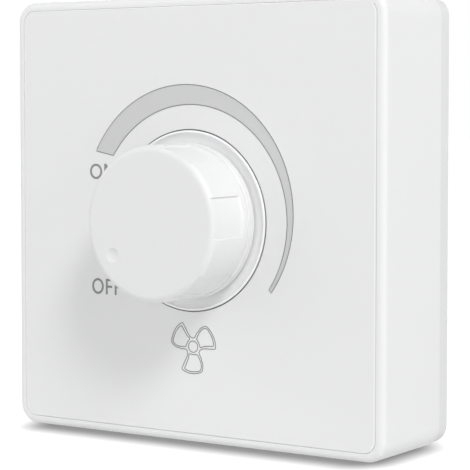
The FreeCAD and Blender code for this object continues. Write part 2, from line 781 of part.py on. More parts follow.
# Resistor wafer with its tongue to the left, and the three terminals that drop to the board
terminal_z = wafer_tongue_reach - terminal_edge
wafer = rod(pot_radius, pot_plate_rear_y, wafer_rear_y)
tongue = rounded_slab(wafer_tongue_width, wafer_tongue_reach, 1.0, pot_plate_rear_y, wafer_rear_y,
                      0, wafer_tongue_reach / 2)
wafer = fuse([wafer, tongue])
wafer = wafer.cut(rod(shaft_radius + 0.4, pot_plate_rear_y - 1, wafer_rear_y + 1))
pieces["resistor_wafer"] = placed(wafer, 90)
terminals = []
terminal_places = []
for offset in (-1, 0, 1):
    x = offset * (wafer_tongue_width / 2 - terminal_side_edge)
    high_z = terminal_z + terminal_thickness / 2
    low_z = terminal_z - terminal_thickness / 2
    bent = [vector(x - terminal_width / 2, wafer_rear_y, low_z - terminal_rivet_length),
            vector(x - terminal_width / 2, wafer_rear_y, high_z),
            vector(x - terminal_width / 2, tail_y, high_z),
            vector(x - terminal_width / 2, tail_y, low_z),
            vector(x - terminal_width / 2, wafer_rear_y + terminal_thickness, low_z),
            vector(x - terminal_width / 2, wafer_rear_y + terminal_thickness,
                   low_z - terminal_rivet_length)]
    terminals.append(placed(outline_face(bent).extrude(vector(terminal_width, 0, 0)), 90))
    terminal_places.append((-terminal_z, x))
pieces["pot_terminals"] = Part.makeCompound(terminals)

# Can with the two inward tabs that stop the rotor at the ends of its turn
can = turned([(can_bore_radius, wafer_rear_y), (pot_radius, wafer_rear_y),
              (pot_radius, switch_front_y), (cam_circle_radius + cam_radius + 0.6, switch_front_y),
              (cam_circle_radius + cam_radius + 0.6, can_inner_y), (can_bore_radius, can_inner_y)])
can_parts = [can]
tab_profile = [(can_bore_radius - stop_tab_depth, rotor_front_y - 0.2),
               (can_bore_radius + 0.2, rotor_front_y - 0.2), (can_bore_radius + 0.2, can_inner_y),
               (can_bore_radius - stop_tab_depth, can_inner_y)]
first_stop = pointer_angle + stop_lug_angle / 2 + stop_play
last_stop = pointer_angle - turn_range - stop_lug_angle / 2 - stop_play
for degrees in (first_stop + stop_tab_angle, last_stop):
    can_parts.append(placed(turned(tab_profile, stop_tab_angle), degrees))
pieces["pot_can"] = fuse(can_parts)

# Switch cup on the board, with a moving blade that the cam has pushed aside and a fixed blade
cup_inner_radius = switch_radius - switch_wall
cup = turned([(cup_inner_radius, switch_front_y), (switch_radius, switch_front_y),
              (switch_radius, board_front_y), (0, board_front_y),
              (0, board_front_y - switch_floor), (cup_inner_radius, board_front_y - switch_floor)])
cup_floor_y = board_front_y - switch_floor
blade_top_y = cup_floor_y - blade_depth
moving_z = -cup_inner_radius * 0.62
fixed_z = -cup_inner_radius * 0.86
moving_blade = block(-2.6, 3.2, blade_top_y, cup_floor_y, moving_z - blade_thickness / 2,
                     moving_z + blade_thickness / 2)
fixed_blade = block(-2.6, 1.6, blade_top_y, cup_floor_y, fixed_z - blade_thickness / 2,
                    fixed_z + blade_thickness / 2)
pin_size = 0.9
moving_pin_x = 2.6
fixed_pin_x = -1.4
pin_places = ((moving_pin_x, moving_z), (fixed_pin_x, fixed_z))
contact_level = blade_top_y + blade_depth / 2
moving_dot = Part.makeCylinder(0.55, 0.25, vector(-1.9, contact_level, moving_z - blade_thickness / 2),
                               vector(0, 0, -1))
fixed_dot = Part.makeCylinder(0.55, 0.25, vector(-1.9, contact_level, fixed_z + blade_thickness / 2),
                              vector(0, 0, 1))
for x, z in pin_places:
    cup = cup.cut(block(x - pin_size / 2 - 0.1, x + pin_size / 2 + 0.1, cup_floor_y - 0.5,
                        board_front_y + 1, z - blade_thickness / 2 - 0.1,
                        z + blade_thickness / 2 + 0.1))
pieces["switch_cup"] = cup
moving_pin = block(moving_pin_x - pin_size / 2, moving_pin_x + pin_size / 2, cup_floor_y - 0.2, tail_y,
                   moving_z - blade_thickness / 2, moving_z + blade_thickness / 2)
fixed_pin = block(fixed_pin_x - pin_size / 2, fixed_pin_x + pin_size / 2, cup_floor_y - 0.2, tail_y,
                  fixed_z - blade_thickness / 2, fixed_z + blade_thickness / 2)
pieces["switch_moving_blade"] = fuse([moving_blade, moving_pin, moving_dot])
pieces["switch_fixed_blade"] = fuse([fixed_blade, fixed_pin, fixed_dot])

# Heat sink bracket
# A bent aluminium plate over the potentiometer, with two legs whose tabs pass through the board.
half_sink = sink_width / 2
outer_bend = sink_bend_radius + sink_thickness
bend_outer_left = vector(-half_sink + outer_bend * (1 - math.sqrt(0.5)),
                         sink_front_y + outer_bend * (1 - math.sqrt(0.5)), 0)
bend_outer_right = vector(-bend_outer_left.x, bend_outer_left.y, 0)
inner_edge = half_sink - sink_thickness
bend_inner_left = vector(-inner_edge + sink_bend_radius * (1 - math.sqrt(0.5)),
                         sink_rear_y + sink_bend_radius * (1 - math.sqrt(0.5)), 0)
bend_inner_right = vector(-bend_inner_left.x, bend_inner_left.y, 0)
section = [vector(-half_sink, board_front_y, 0), vector(-half_sink, sink_front_y + outer_bend, 0),
           (bend_outer_left, vector(-half_sink + outer_bend, sink_front_y, 0)),
           vector(half_sink - outer_bend, sink_front_y, 0),
           (bend_outer_right, vector(half_sink, sink_front_y + outer_bend, 0)),
           vector(half_sink, board_front_y, 0), vector(inner_edge, board_front_y, 0),
           vector(inner_edge, sink_rear_y + sink_bend_radius, 0),
           (bend_inner_right, vector(inner_edge - sink_bend_radius, sink_rear_y, 0)),
           vector(-inner_edge + sink_bend_radius, sink_rear_y, 0),
           (bend_inner_left, vector(-inner_edge, sink_rear_y + sink_bend_radius, 0)),
           vector(-inner_edge, board_front_y, 0)]
sink = outline_face(section).extrude(vector(0, 0, sink_top - sink_bottom))
sink.translate(vector(0, 0, sink_bottom))
tab_middle = (sink_leg_bottom + sink_leg_top) / 2
sink_additions = [sink]
tab_places = []
for side in (-1, 1):
    low_x = min(side * half_sink, side * inner_edge)
    sink_additions.append(block(low_x, low_x + sink_thickness, board_front_y - 0.2, tail_y,
                                tab_middle - sink_tab_width / 2, tab_middle + sink_tab_width / 2))
    tab_places.append(low_x + sink_thickness / 2)
sink = fuse(sink_additions)
leg_start_y = sink_rear_y + sink_bend_radius + 0.5
for side in (-1, 1):
    low_x = min(side * (half_sink + 1), side * (inner_edge - 1))
    high_x = max(side * (half_sink + 1), side * (inner_edge - 1))
    sink = sink.cut(block(low_x, high_x, leg_start_y, tail_y + 1, sink_bottom - 1, sink_leg_bottom))
    sink = sink.cut(block(low_x, high_x, leg_start_y, tail_y + 1, sink_leg_top, sink_top + 1))
sink = sink.cut(rod(bushing_radius + 0.15, sink_front_y - 1, sink_rear_y + 1))
sink = sink.cut(block(lug_x - lug_thickness / 2 - lug_clearance, lug_x + lug_thickness / 2 + lug_clearance,
                      sink_front_y - 1, sink_rear_y + 1,
                      -lug_width / 2 - lug_clearance, lug_width / 2 + lug_clearance))
triac_hole_z = triac_bottom + triac_tab_height - triac_hole_drop
sink = sink.cut(rod(screw_shank_radius + screw_clearance, sink_front_y - 1, sink_rear_y + 1,
                    triac_x, triac_hole_z))
pieces["heat_sink"] = sink

# Triac: metal tab on the bracket, moulded body behind it and three legs to the board
tab_rear_y = sink_rear_y + triac_tab_thickness
tab_top = triac_bottom + triac_tab_height
tab = block(triac_x - triac_width / 2, triac_x + triac_width / 2, sink_rear_y, tab_rear_y,
            triac_bottom, tab_top)
upper = [edge for edge in tab.Edges
         if edge.BoundBox.ZMin > tab_top - 0.01 and edge.BoundBox.XLength < 0.01]
tab = tab.makeChamfer(1.0, upper)
tab = tab.cut(rod(screw_shank_radius + screw_clearance, sink_rear_y - 1, tab_rear_y + 1,
                  triac_x, triac_hole_z))
pieces["triac_tab"] = tab
triac_body_rear_y = tab_rear_y + triac_body_depth
body_top = triac_bottom + triac_body_height
half_triac = triac_width / 2
body_section = [vector(triac_x - half_triac, tab_rear_y, triac_bottom),
                vector(triac_x + half_triac, tab_rear_y, triac_bottom),
                vector(triac_x + half_triac - 0.4, triac_body_rear_y, triac_bottom),
                vector(triac_x - half_triac + 0.4, triac_body_rear_y, triac_bottom)]
triac_body = outline_face(body_section).extrude(vector(0, 0, body_top - triac_bottom))
pieces["triac_body"] = triac_body
leg_y = tab_rear_y + triac_body_depth * 0.35
leg_z = triac_bottom - triac_leg_reach
triac_legs = []
leg_places = []
for offset in (-1, 0, 1):
    x = triac_x + offset * triac_leg_pitch - triac_leg_width / 2
    bent = [vector(x, leg_y, triac_bottom), vector(x, leg_y, leg_z), vector(x, tail_y, leg_z),
            vector(x, tail_y, leg_z + triac_leg_thickness),
            vector(x, leg_y + triac_leg_thickness, leg_z + triac_leg_thickness),
            vector(x, leg_y + triac_leg_thickness, triac_bottom)]
    triac_legs.append(outline_face(bent).extrude(vector(triac_leg_width, 0, 0)))
    leg_places.append((x + triac_leg_width / 2, leg_z + triac_leg_thickness / 2))
pieces["triac_legs"] = Part.makeCompound(triac_legs)
triac_nut_height = 2.4
pieces["triac_screw"] = pan_head_screw(sink_front_y, screw_shank_radius, screw_head_radius,
                                       screw_head_height * 0.85,
                                       sink_thickness + triac_tab_thickness + triac_nut_height + 0.8,
                                       triac_x, triac_hole_z, 35.0)
triac_nut = hexagon(screw_shank_radius * 2 * 1.83, tab_rear_y, tab_rear_y + triac_nut_height,
                    triac_x, triac_hole_z)
pieces["triac_nut"] = triac_nut.cut(rod(screw_shank_radius + thread_clearance, tab_rear_y - 1,
                                        tab_rear_y + triac_nut_height + 1, triac_x, triac_hole_z))

# Parts that stand on the board
lead_places = []


def bent_lead(x, z, along_x, along_z, body_end, foot, level):
    # A round wire from the end of a lying body, bent once, down through the board.
    bend = lead_radius * 2.5
    start = vector(x + along_x * body_end, level, z + along_z * body_end)
    turn_start = vector(x + along_x * (foot - bend), level, z + along_z * (foot - bend))
    slant = bend * (1 - math.sqrt(0.5))
    turn_middle = vector(x + along_x * (foot - slant), level + slant, z + along_z * (foot - slant))
    turn_end = vector(x + along_x * foot, level + bend, z + along_z * foot)
    end = vector(x + along_x * foot, tail_y, z + along_z * foot)
    path = Part.Wire([Part.LineSegment(start, turn_start).toShape(),
                      Part.Arc(turn_start, turn_middle, turn_end).toShape(),
                      Part.LineSegment(turn_end, end).toShape()])
    ring_wire = Part.Wire([Part.makeCircle(lead_radius, start, vector(along_x, 0, along_z))])
    lead_places.append((end.x, end.z))
    return path.makePipeShell([ring_wire], True, True)


def lying_body(profile, x, z, level, along_x):
    # A turned body laid along X or Z, from radius and half length pairs.
    corners = [(0, -profile[-1][1])]
    for radius, reach_out in reversed(profile):
        corners.append((radius, -reach_out))
    for radius, reach_out in profile:
        corners.append((radius, reach_out))
    corners.append((0, profile[-1][1]))
    body = turned(corners)
    if along_x:
        body.rotate(origin, vector(0, 0, 1), 90)
    else:
        body.rotate(origin, vector(1, 0, 0), 90)
    body.translate(vector(x, level, z))
    return body


resistor_level = board_front_y - resistor_radius - board_part_gap
resistor_profile = [(resistor_radius * 0.82, resistor_half * 0.6),
                    (resistor_radius, resistor_half * 0.73),
                    (resistor_radius, resistor_half - 0.3), (resistor_radius * 0.7, resistor_half)]
resistors = []
for z in resistor_levels:
    shapes = [lying_body(resistor_profile, resistor_x, z, resistor_level, True)]
    for direction in (-1, 1):
        shapes.append(bent_lead(resistor_x, z, direction, 0, resistor_half - 0.2, resistor_foot,
                                resistor_level))
    resistors.append(fuse(shapes))
pieces["resistors"] = Part.makeCompound(resistors)

diac_level = board_front_y - diac_radius - board_part_gap
diac_profile = [(diac_radius, diac_half - 0.3), (diac_radius * 0.6, diac_half)]
diac_shapes = [lying_body(diac_profile, diac_x, diac_z, diac_level, True)]
for direction in (-1, 1):
    diac_shapes.append(bent_lead(diac_x, diac_z, direction, 0, diac_half - 0.2, diac_foot,
                                 diac_level))
pieces["diac"] = fuse(diac_shapes)

fuse_level = board_front_y - fuse_radius - 4 * board_part_gap
glass = lying_body([(fuse_radius - 0.3, fuse_half - 0.3)], fuse_x, fuse_z, fuse_level, False)
fuse_caps = []
for direction in (-1, 1):
    cap_shape = lying_body([(fuse_radius, fuse_cap_length / 2)], fuse_x,
                           fuse_z + direction * (fuse_half - fuse_cap_length / 2),
                           fuse_level, False).cut(glass)
    lead = bent_lead(fuse_x, fuse_z, 0, direction, fuse_half - 0.1, fuse_half + fuse_lead_reach,
                     fuse_level)
    fuse_caps.append(fuse([cap_shape, lead]))
pieces["fuse_tube"] = glass
pieces["fuse_caps"] = Part.makeCompound(fuse_caps)


def box_part(width, height, depth, x, z, pitch, along_x=True):
    # A moulded case with soft edges and two pins, standing on the board.
    case = rounded_slab(width, height, case_corner_radius, board_front_y - depth, board_front_y,
                        x, z)
    rear_edges = [edge for edge in case.Edges if edge.BoundBox.YMax < board_front_y - depth + 0.01]
    case = case.makeFillet(case_edge_radius, rear_edges)
    shapes = [case]
    for direction in (-1, 1):
        pin_x = x + direction * pitch / 2 if along_x else x
        pin_z = z if along_x else z + direction * pitch / 2
        shapes.append(rod(lead_radius, board_front_y - 0.2, tail_y, pin_x, pin_z))
        lead_places.append((pin_x, pin_z))
    return fuse(shapes)


pieces["film_capacitor"] = box_part(film_length, film_width, film_depth, film_x, film_z,
                                    film_pin_spacing)
pieces["snubber_capacitor"] = box_part(snubber_width, snubber_length, snubber_depth,
                                       snubber_x, snubber_z, snubber_pin_spacing, False)
pieces["timing_capacitor"] = box_part(timing_width, timing_length, timing_depth,
                                      timing_x, timing_z, timing_pin_spacing, False)

varistor_level = board_front_y - varistor_radius - 5 * board_part_gap
varistor_shapes = [lying_body([(varistor_radius, varistor_half - 0.5),
                               (varistor_radius - 0.6, varistor_half)],
                              varistor_x, varistor_z, varistor_level, False)]
for direction in (-1, 1):
    pin_x = varistor_x + direction * varistor_pin_spacing / 2
    varistor_shapes.append(rod(lead_radius, varistor_level, tail_y, pin_x, varistor_z))
    lead_places.append((pin_x, varistor_z))
pieces["varistor"] = fuse(varistor_shapes)

# Choke: a ring core with separate turns of square section wire
choke_rear_y = board_front_y - wire_thickness - 0.1
choke_front_y = choke_rear_y - choke_height
core_edge = 0.5
core = turned([(choke_inner_radius + core_edge, choke_front_y),
               (choke_outer_radius - core_edge, choke_front_y),
               (choke_outer_radius, choke_front_y + core_edge),
               (choke_outer_radius, choke_rear_y - core_edge),
               (choke_outer_radius - core_edge, choke_rear_y),
               (choke_inner_radius + core_edge, choke_rear_y),
               (choke_inner_radius, choke_rear_y - core_edge),
               (choke_inner_radius, choke_front_y + core_edge)])
core.translate(vector(choke_x, 0, choke_z))
pieces["choke_core"] = core
wire_gap = 0.05
ring_middle = (choke_outer_radius + choke_inner_radius) / 2
core_width = choke_outer_radius - choke_inner_radius
turn_height = choke_height + 2 * wire_gap
turn_y = (choke_front_y + choke_rear_y) / 2


def wire_frame(width, height, radius):
    # A flat rounded frame in X and Y, half a wire to each side of Z zero.
    frame = rounded_slab(width, height, radius, -wire_thickness / 2, wire_thickness / 2)
    frame.rotate(origin, vector(1, 0, 0), 90)
    return frame


one_turn = wire_frame(core_width + 2 * wire_gap + 2 * wire_thickness,
                      turn_height + 2 * wire_thickness, 0.9)
one_turn = one_turn.cut(wire_frame(core_width + 2 * wire_gap, turn_height, 0.15))
one_turn.translate(vector(ring_middle, turn_y, 0))
winding = []
for index in range(turn_count):
    share = index / (turn_count - 1.0)
    copy = one_turn.copy()
    copy.rotate(origin, y_axis, 28 + share * 304)
    copy.translate(vector(choke_x, 0, choke_z))
    winding.append(copy)
for end_angle in (28.0, 332.0):
    reach_out = choke_outer_radius + wire_gap + wire_thickness / 2
    pin_x = choke_x + reach_out * math.cos(math.radians(end_angle))
    pin_z = choke_z - reach_out * math.sin(math.radians(end_angle))
    end_pin = rod(wire_thickness / 2, turn_y, tail_y, pin_x, pin_z)
    place = 0 if end_angle < 180 else turn_count - 1
    winding[place] = winding[place].fuse(end_pin).removeSplitter()
    lead_places.append((pin_x, pin_z))
pieces["choke_winding"] = Part.makeCompound(winding)

# Terminal block: a two-way moulding with a barrier, wire mouths below and screws in front
block_top = block_bottom + block_height
block_front_y = board_front_y - block_depth
block_middle = (block_bottom + block_top) / 2
housing = block(-block_width / 2, block_width / 2, block_front_y, board_front_y,
                block_bottom, block_top)
long_edges = [edge for edge in housing.Edges
              if edge.BoundBox.YMax < block_front_y + 0.01 and edge.BoundBox.XLength > 1]
housing = housing.makeChamfer(0.8, long_edges)
barrier = block(-0.6, 0.6, block_front_y - 1.2, block_front_y + 1, block_bottom, block_top)
housing = fuse([housing, barrier])
cage_places = (-block_width / 4, block_width / 4)
cage_front_y = block_front_y + 1.4
cage_rear_y = cage_front_y + cage_depth
pocket_half = cage_size / 2 + cage_clearance
mouth_y = cage_rear_y - cage_depth * 0.42
screw_head_y = cage_front_y
cages = []
block_screws = []
for x in cage_places:
    housing = housing.cut(block(x - pocket_half, x + pocket_half, cage_front_y, cage_rear_y + cage_clearance,
                                block_middle - pocket_half, block_middle + pocket_half))
    housing = housing.cut(rod(block_screw_head_radius + 0.3, block_front_y - 2, cage_front_y + 0.5,
                              x, block_middle))
    mouth = Part.makeCylinder(wire_mouth_radius, block_middle - block_bottom + 1,
                              vector(x, mouth_y, block_bottom - 1), vector(0, 0, 1))
    housing = housing.cut(mouth)
    cage = block(x - cage_size / 2, x + cage_size / 2, cage_front_y, cage_rear_y,
                 block_middle - cage_size / 2, block_middle + cage_size / 2)
    cage = cage.cut(Part.makeCylinder(wire_mouth_radius - 0.2, cage_size + 2,
                                      vector(x, mouth_y, block_middle - cage_size / 2 - 1),
                                      vector(0, 0, 1)))
    cage = cage.cut(rod(block_screw_radius + thread_clearance, cage_front_y - 1, mouth_y,
                        x, block_middle))
    foot = rod(0.5, cage_rear_y - 0.1, tail_y, x, block_middle)
    housing = housing.cut(rod(0.5 + lead_clearance, cage_rear_y - 0.1, board_front_y + 1,
                              x, block_middle))
    lead_places.append((x, block_middle))
    cages.append(fuse([cage, foot]))
    shank = mouth_y - wire_mouth_radius * 0.5 - screw_head_y
    block_screws.append(pan_head_screw(screw_head_y, block_screw_radius, block_screw_head_radius,
                                       1.2, shank, x, block_middle, 10.0))
pieces["terminal_block"] = housing
pieces["terminal_cages"] = Part.makeCompound(cages)
pieces["terminal_screws"] = Part.makeCompound(block_screws)

# Circuit board, drilled for every lead, pin, tab and screw that passes through it
board_middle = (board_bottom + board_top) / 2
board = rounded_slab(board_width, board_top - board_bottom, 1.5, board_front_y, board_rear_y,
                     0, board_middle)
drills = []
for x, z in lead_places:
    near_foot = abs(z - block_middle) < 0.01 and abs(abs(x) - block_width / 4) < 0.01
    near_choke = math.hypot(x - choke_x, z - choke_z) < choke_outer_radius + 2
    size = 0.5 if near_foot else wire_thickness / 2 if near_choke else lead_radius
    drills.append(rod(size + lead_clearance, board_front_y - 1, board_rear_y + 1, x, z))
for x, z in board_screw_places:
    drills.append(rod(board_screw_radius + 0.15, board_front_y - 1, board_rear_y + 1, x, z))
for x, z in terminal_places:
    drills.append(rod(terminal_width / 2 + 0.25, board_front_y - 1, board_rear_y + 1, x, z))
for x, z in leg_places:
    drills.append(rod(triac_leg_width / 2 + 0.2, board_front_y - 1, board_rear_y + 1, x, z))
for x, z in pin_places:
    drills.append(rod(pin_size / 2 + 0.15, board_front_y - 1, board_rear_y + 1, x, z))
for x in tab_places:
    drills.append(block(x - sink_thickness / 2 - 0.15, x + sink_thickness / 2 + 0.15,
                        board_front_y - 1, board_rear_y + 1,
                        tab_middle - sink_tab_width / 2 - 0.15, tab_middle + sink_tab_width / 2 + 0.15))
for drill in drills:
    board = board.cut(drill)
pieces["circuit_board"] = board

board_screws = []
for index, place in enumerate(board_screw_places):
    board_screws.append(pan_head_screw(board_screw_seat_y, board_screw_radius,
                                       board_screw_head_radius, board_screw_head_height,
                                       board_screw_length, place[0], place[1], 15.0 + 20.0 * index))
pieces["board_screws"] = Part.makeCompound(board_screws)

for name in pieces:
    pieces[name].exportStep("parts/" + name + ".step")
    print(name, len(pieces[name].Solids), round(pieces[name].Volume, 2), pieces[name].isValid())
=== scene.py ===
import json
import math

import bpy
import numpy as np
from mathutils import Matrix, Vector


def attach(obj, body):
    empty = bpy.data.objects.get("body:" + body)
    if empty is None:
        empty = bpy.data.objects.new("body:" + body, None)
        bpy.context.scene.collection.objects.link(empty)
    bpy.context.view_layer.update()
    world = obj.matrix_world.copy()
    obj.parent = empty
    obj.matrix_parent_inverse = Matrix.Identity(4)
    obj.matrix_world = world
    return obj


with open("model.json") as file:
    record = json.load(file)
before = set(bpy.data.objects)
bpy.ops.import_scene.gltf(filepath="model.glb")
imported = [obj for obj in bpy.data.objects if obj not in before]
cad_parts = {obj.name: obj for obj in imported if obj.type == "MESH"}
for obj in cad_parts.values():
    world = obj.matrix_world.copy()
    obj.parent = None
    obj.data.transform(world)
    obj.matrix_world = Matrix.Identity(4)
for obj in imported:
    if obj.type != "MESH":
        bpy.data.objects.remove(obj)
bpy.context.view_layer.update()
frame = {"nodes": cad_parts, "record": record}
print("frame loaded:", len(frame["nodes"]), "nodes")

scene = bpy.context.scene
scene.view_settings.view_transform = "Standard"

# Camera at the photo's viewing angle
photoCamera = {
    "place": (0.20685, -0.31750, 0.02150),   # metres, in front, to the right and a little above the middle
    "turn": 0.5911,                          # radians to the left
    "tilt": 0.0525,                          # radians down
    "lens": 142.65,                          # millimetres, on the sensor below
    "sensor": 36.0,
    "shiftY": -0.06,
    "nearest": 0.01,
    "farthest": 20.0,
}

cameraData = bpy.data.cameras.new("photoCamera")
cameraData.sensor_width = photoCamera["sensor"]
cameraData.lens = photoCamera["lens"]
cameraData.shift_y = photoCamera["shiftY"]
cameraData.clip_start = photoCamera["nearest"]
cameraData.clip_end = photoCamera["farthest"]
cameraObject = bpy.data.objects.new("photoCamera", cameraData)
cameraObject.location = photoCamera["place"]
cameraObject.rotation_euler = (math.pi / 2 - photoCamera["tilt"], 0.0, photoCamera["turn"])
scene.collection.objects.link(cameraObject)
scene.camera = cameraObject

# Light: an even white room, three broad lamps in front of the object and one behind it
studio = {
    "roomFront": 0.580,                  # the room's strength in front of the wall
    "roomBack": 0.14,                    # and behind it
    "roomSoft": 0.35,                    # the one passes into the other between minus and plus this Y
    "lampAim": (0.0, -0.03, 0.0),
    "lampReach": 1.10,
    "floorLevel": -0.04301,              # just under the foot of the housing
    "floorReach": 3.0,
    "floorColour": (0.86, 0.86, 0.86),
    "floorSeenShare": 0.255,             # what is left of that colour where the paper is looked at and glows
    "floorGlow": 0.95,                   # the glow of the paper where it is looked at
    "floorLift": 0.045,                  # its glow for light that only illuminates, out in the open
    "footLift": 0.07,                    # the same close to the housing
    "contactShift": (0.0018, -0.0030),   # from the housing's middle to that of the contact shadow
    "contactInset": (0.0084, 0.0066),    # how much smaller than the housing the shadow's core is
    "contactReach": (0.0111, 0.0148),    # how far the shadow spreads from its core
    "contactStart": 0.28,                # the share of that reach that stays fully dark
    "contactTone": 0.26,                 # what the shadow leaves of the paper's tone
    "contactBounce": 0.20,               # how much of the shadow counts for light that bounces off the paper
}
lamps = [
    {"name": "keyLamp", "azimuth": 54, "elevation": 43, "size": 0.32, "power": 5.50},
    {"name": "sideLamp", "azimuth": 88, "elevation": 15, "size": 0.50, "power": 1.90},
    {"name": "fillLamp", "azimuth": -60, "elevation": 20, "size": 1.20, "power": 2.60},
    {"name": "backLamp", "azimuth": 210, "elevation": 12, "size": 0.80, "power": 2.40},
]


def lampPlace(lamp):
    # Azimuth turns from straight in front toward the right, elevation upward, both in degrees.
    side = math.radians(lamp["azimuth"])
    rise = math.radians(lamp["elevation"])
    way = Vector((math.sin(side) * math.cos(rise), -math.cos(side) * math.cos(rise), math.sin(rise)))
    return Vector(studio["lampAim"]) + way * studio["lampReach"]


for lamp in lamps:
    lampData = bpy.data.lights.new(lamp["name"], "AREA")
    lampData.shape = "DISK"
    lampData.size = lamp["size"]
    lampData.energy = lamp["power"]
    lampObject = bpy.data.objects.new(lamp["name"], lampData)
    lampObject.location = lampPlace(lamp)
    facing = Vector(studio["lampAim"]) - lampObject.location
    lampObject.rotation_euler = facing.to_track_quat("-Z", "Y").to_euler()
    scene.collection.objects.link(lampObject)


# Steps that the room, the floor and every finish are put together from
def putIn(tree, socket, value):
    # Links a socket to another one, or gives it a fixed number or vector.
    if hasattr(value, "is_linked"):
        tree.links.new(value, socket)
    else:
        socket.default_value = value


def mathNode(tree, operation, first, second=None, clamp=False):
    # One arithmetic step; each side is a socket or a number.
    node = tree.nodes.new("ShaderNodeMath")
    node.operation = operation
    node.use_clamp = clamp
    putIn(tree, node.inputs[0], first)
    if second is not None:
        putIn(tree, node.inputs[1], second)
    return node.outputs[0]


def vectorNode(tree, operation, first, second=None):
    # One vector step; each side is a socket or a vector. A length and a dot product are numbers.
    node = tree.nodes.new("ShaderNodeVectorMath")
    node.operation = operation
    putIn(tree, node.inputs[0], first)
    if second is not None:
        putIn(tree, node.inputs[1], second)
    return node.outputs["Value" if operation in ("LENGTH", "DOT_PRODUCT") else "Vector"]


def splitPlace(tree, place):
    # X, Y and Z of a place or a direction
    node = tree.nodes.new("ShaderNodeSeparateXYZ")
    tree.links.new(place, node.inputs[0])
    return node.outputs["X"], node.outputs["Y"], node.outputs["Z"]


def lengthOf(tree, first, second):
    # The square root of the sum of both squares
    squares = [mathNode(tree, "POWER", side, 2.0) for side in (first, second)]
    return mathNode(tree, "SQRT", mathNode(tree, "ADD", *squares))


def between(tree, value, low, high):
    # One where the value lies between two limits, and zero elsewhere
    above = mathNode(tree, "GREATER_THAN", value, low)
    return mathNode(tree, "MULTIPLY", above, mathNode(tree, "LESS_THAN", value, high))


def spread(tree, value, low, high, start=0.0, end=1.0, soft=False):
    # Turns start to end into low to high, in a straight line or as a smooth step.
    node = tree.nodes.new("ShaderNodeMapRange")
    node.interpolation_type = "SMOOTHSTEP" if soft else "LINEAR"
    tree.links.new(value, node.inputs["Value"])
    for label, number in (("From Min", start), ("From Max", end), ("To Min", low), ("To Max", high)):
        node.inputs[label].default_value = number
    return node.outputs["Result"]


def mixNumbers(tree, factor, first, second):
    node = tree.nodes.new("ShaderNodeMix")
    node.data_type = "FLOAT"
    for label, value in (("Factor", factor), ("A", first), ("B", second)):
        putIn(tree, node.inputs[label], value)
    return node.outputs["Result"]


def mixColours(tree, factor, first, second):
    node = tree.nodes.new("ShaderNodeMix")
    node.data_type = "RGBA"
    tree.links.new(factor, node.inputs[0])
    for index, value in ((6, first), (7, second)):
        putIn(tree, node.inputs[index], value if hasattr(value, "is_linked") else (*value, 1.0))
    return node.outputs[2]


def noiseNode(tree, place, scale, detail):
    node = tree.nodes.new("ShaderNodeTexNoise")
    tree.links.new(place, node.inputs["Vector"])
    putIn(tree, node.inputs["Scale"], scale)
    node.inputs["Detail"].default_value = detail
    return node.outputs[0]


def seenDirectly(tree):
    # One where a camera, mirror or glass ray looks, zero for light that only illuminates
    path = tree.nodes.new("ShaderNodeLightPath")
    seen = mathNode(tree, "MAXIMUM", path.outputs["Is Camera Ray"], path.outputs["Is Glossy Ray"])
    return mathNode(tree, "MAXIMUM", seen, path.outputs["Is Transmission Ray"])


world = bpy.data.worlds.new("whiteRoom")
scene.world = world
world.use_nodes = True
room = world.node_tree
room.nodes.clear()
# The room is brighter in front of the wall than behind it, by the direction's own Y.
roomWay = room.nodes.new("ShaderNodeTexCoord")
roomLight = room.nodes.new("ShaderNodeBackground")
roomWhite = room.nodes.new("ShaderNodeBackground")
for background in (roomLight, roomWhite):
    background.inputs["Color"].default_value = (1.0, 1.0, 1.0, 1.0)
    background.inputs["Strength"].default_value = 1.0
roomStrength = spread(room, splitPlace(room, roomWay.outputs["Generated"])[1], studio["roomFront"],
                      studio["roomBack"], -studio["roomSoft"], studio["roomSoft"], soft=True)
room.links.new(roomStrength, roomLight.inputs["Strength"])
roomMix = room.nodes.new("ShaderNodeMixShader")
roomOutput = room.nodes.new("ShaderNodeOutputWorld")
room.links.new(seenDirectly(room), roomMix.inputs[0])
room.links.new(roomLight.outputs[0], roomMix.inputs[1])
room.links.new(roomWhite.outputs[0], roomMix.inputs[2])
room.links.new(roomMix.outputs[0], roomOutput.inputs["Surface"])


def makeMesh(name, points, faces):
    # A mesh object at the origin from an array of points and lists of corner numbers
    mesh = bpy.data.meshes.new(name)
    mesh.from_pydata(points.tolist(), [], faces)
    mesh.update()
    thing = bpy.data.objects.new(name, mesh)
    scene.collection.objects.link(thing)
    return thing


reach = studio["floorReach"]
level = studio["floorLevel"]
floorPoints = np.array([[-reach, -reach, level], [reach, -reach, level],
                        [reach, reach, level], [-reach, reach, level]])
floor = makeMesh("studioFloor", floorPoints, [[0, 1, 2, 3]])
floorMaterial = bpy.data.materials.new("palePaper")
floorMaterial.use_nodes = True
paper = floorMaterial.node_tree
paper.nodes.clear()
paperWhere = paper.nodes.new("ShaderNodeTexCoord")
paperPath = paper.nodes.new("ShaderNodeLightPath")
paperSeen = seenDirectly(paper)

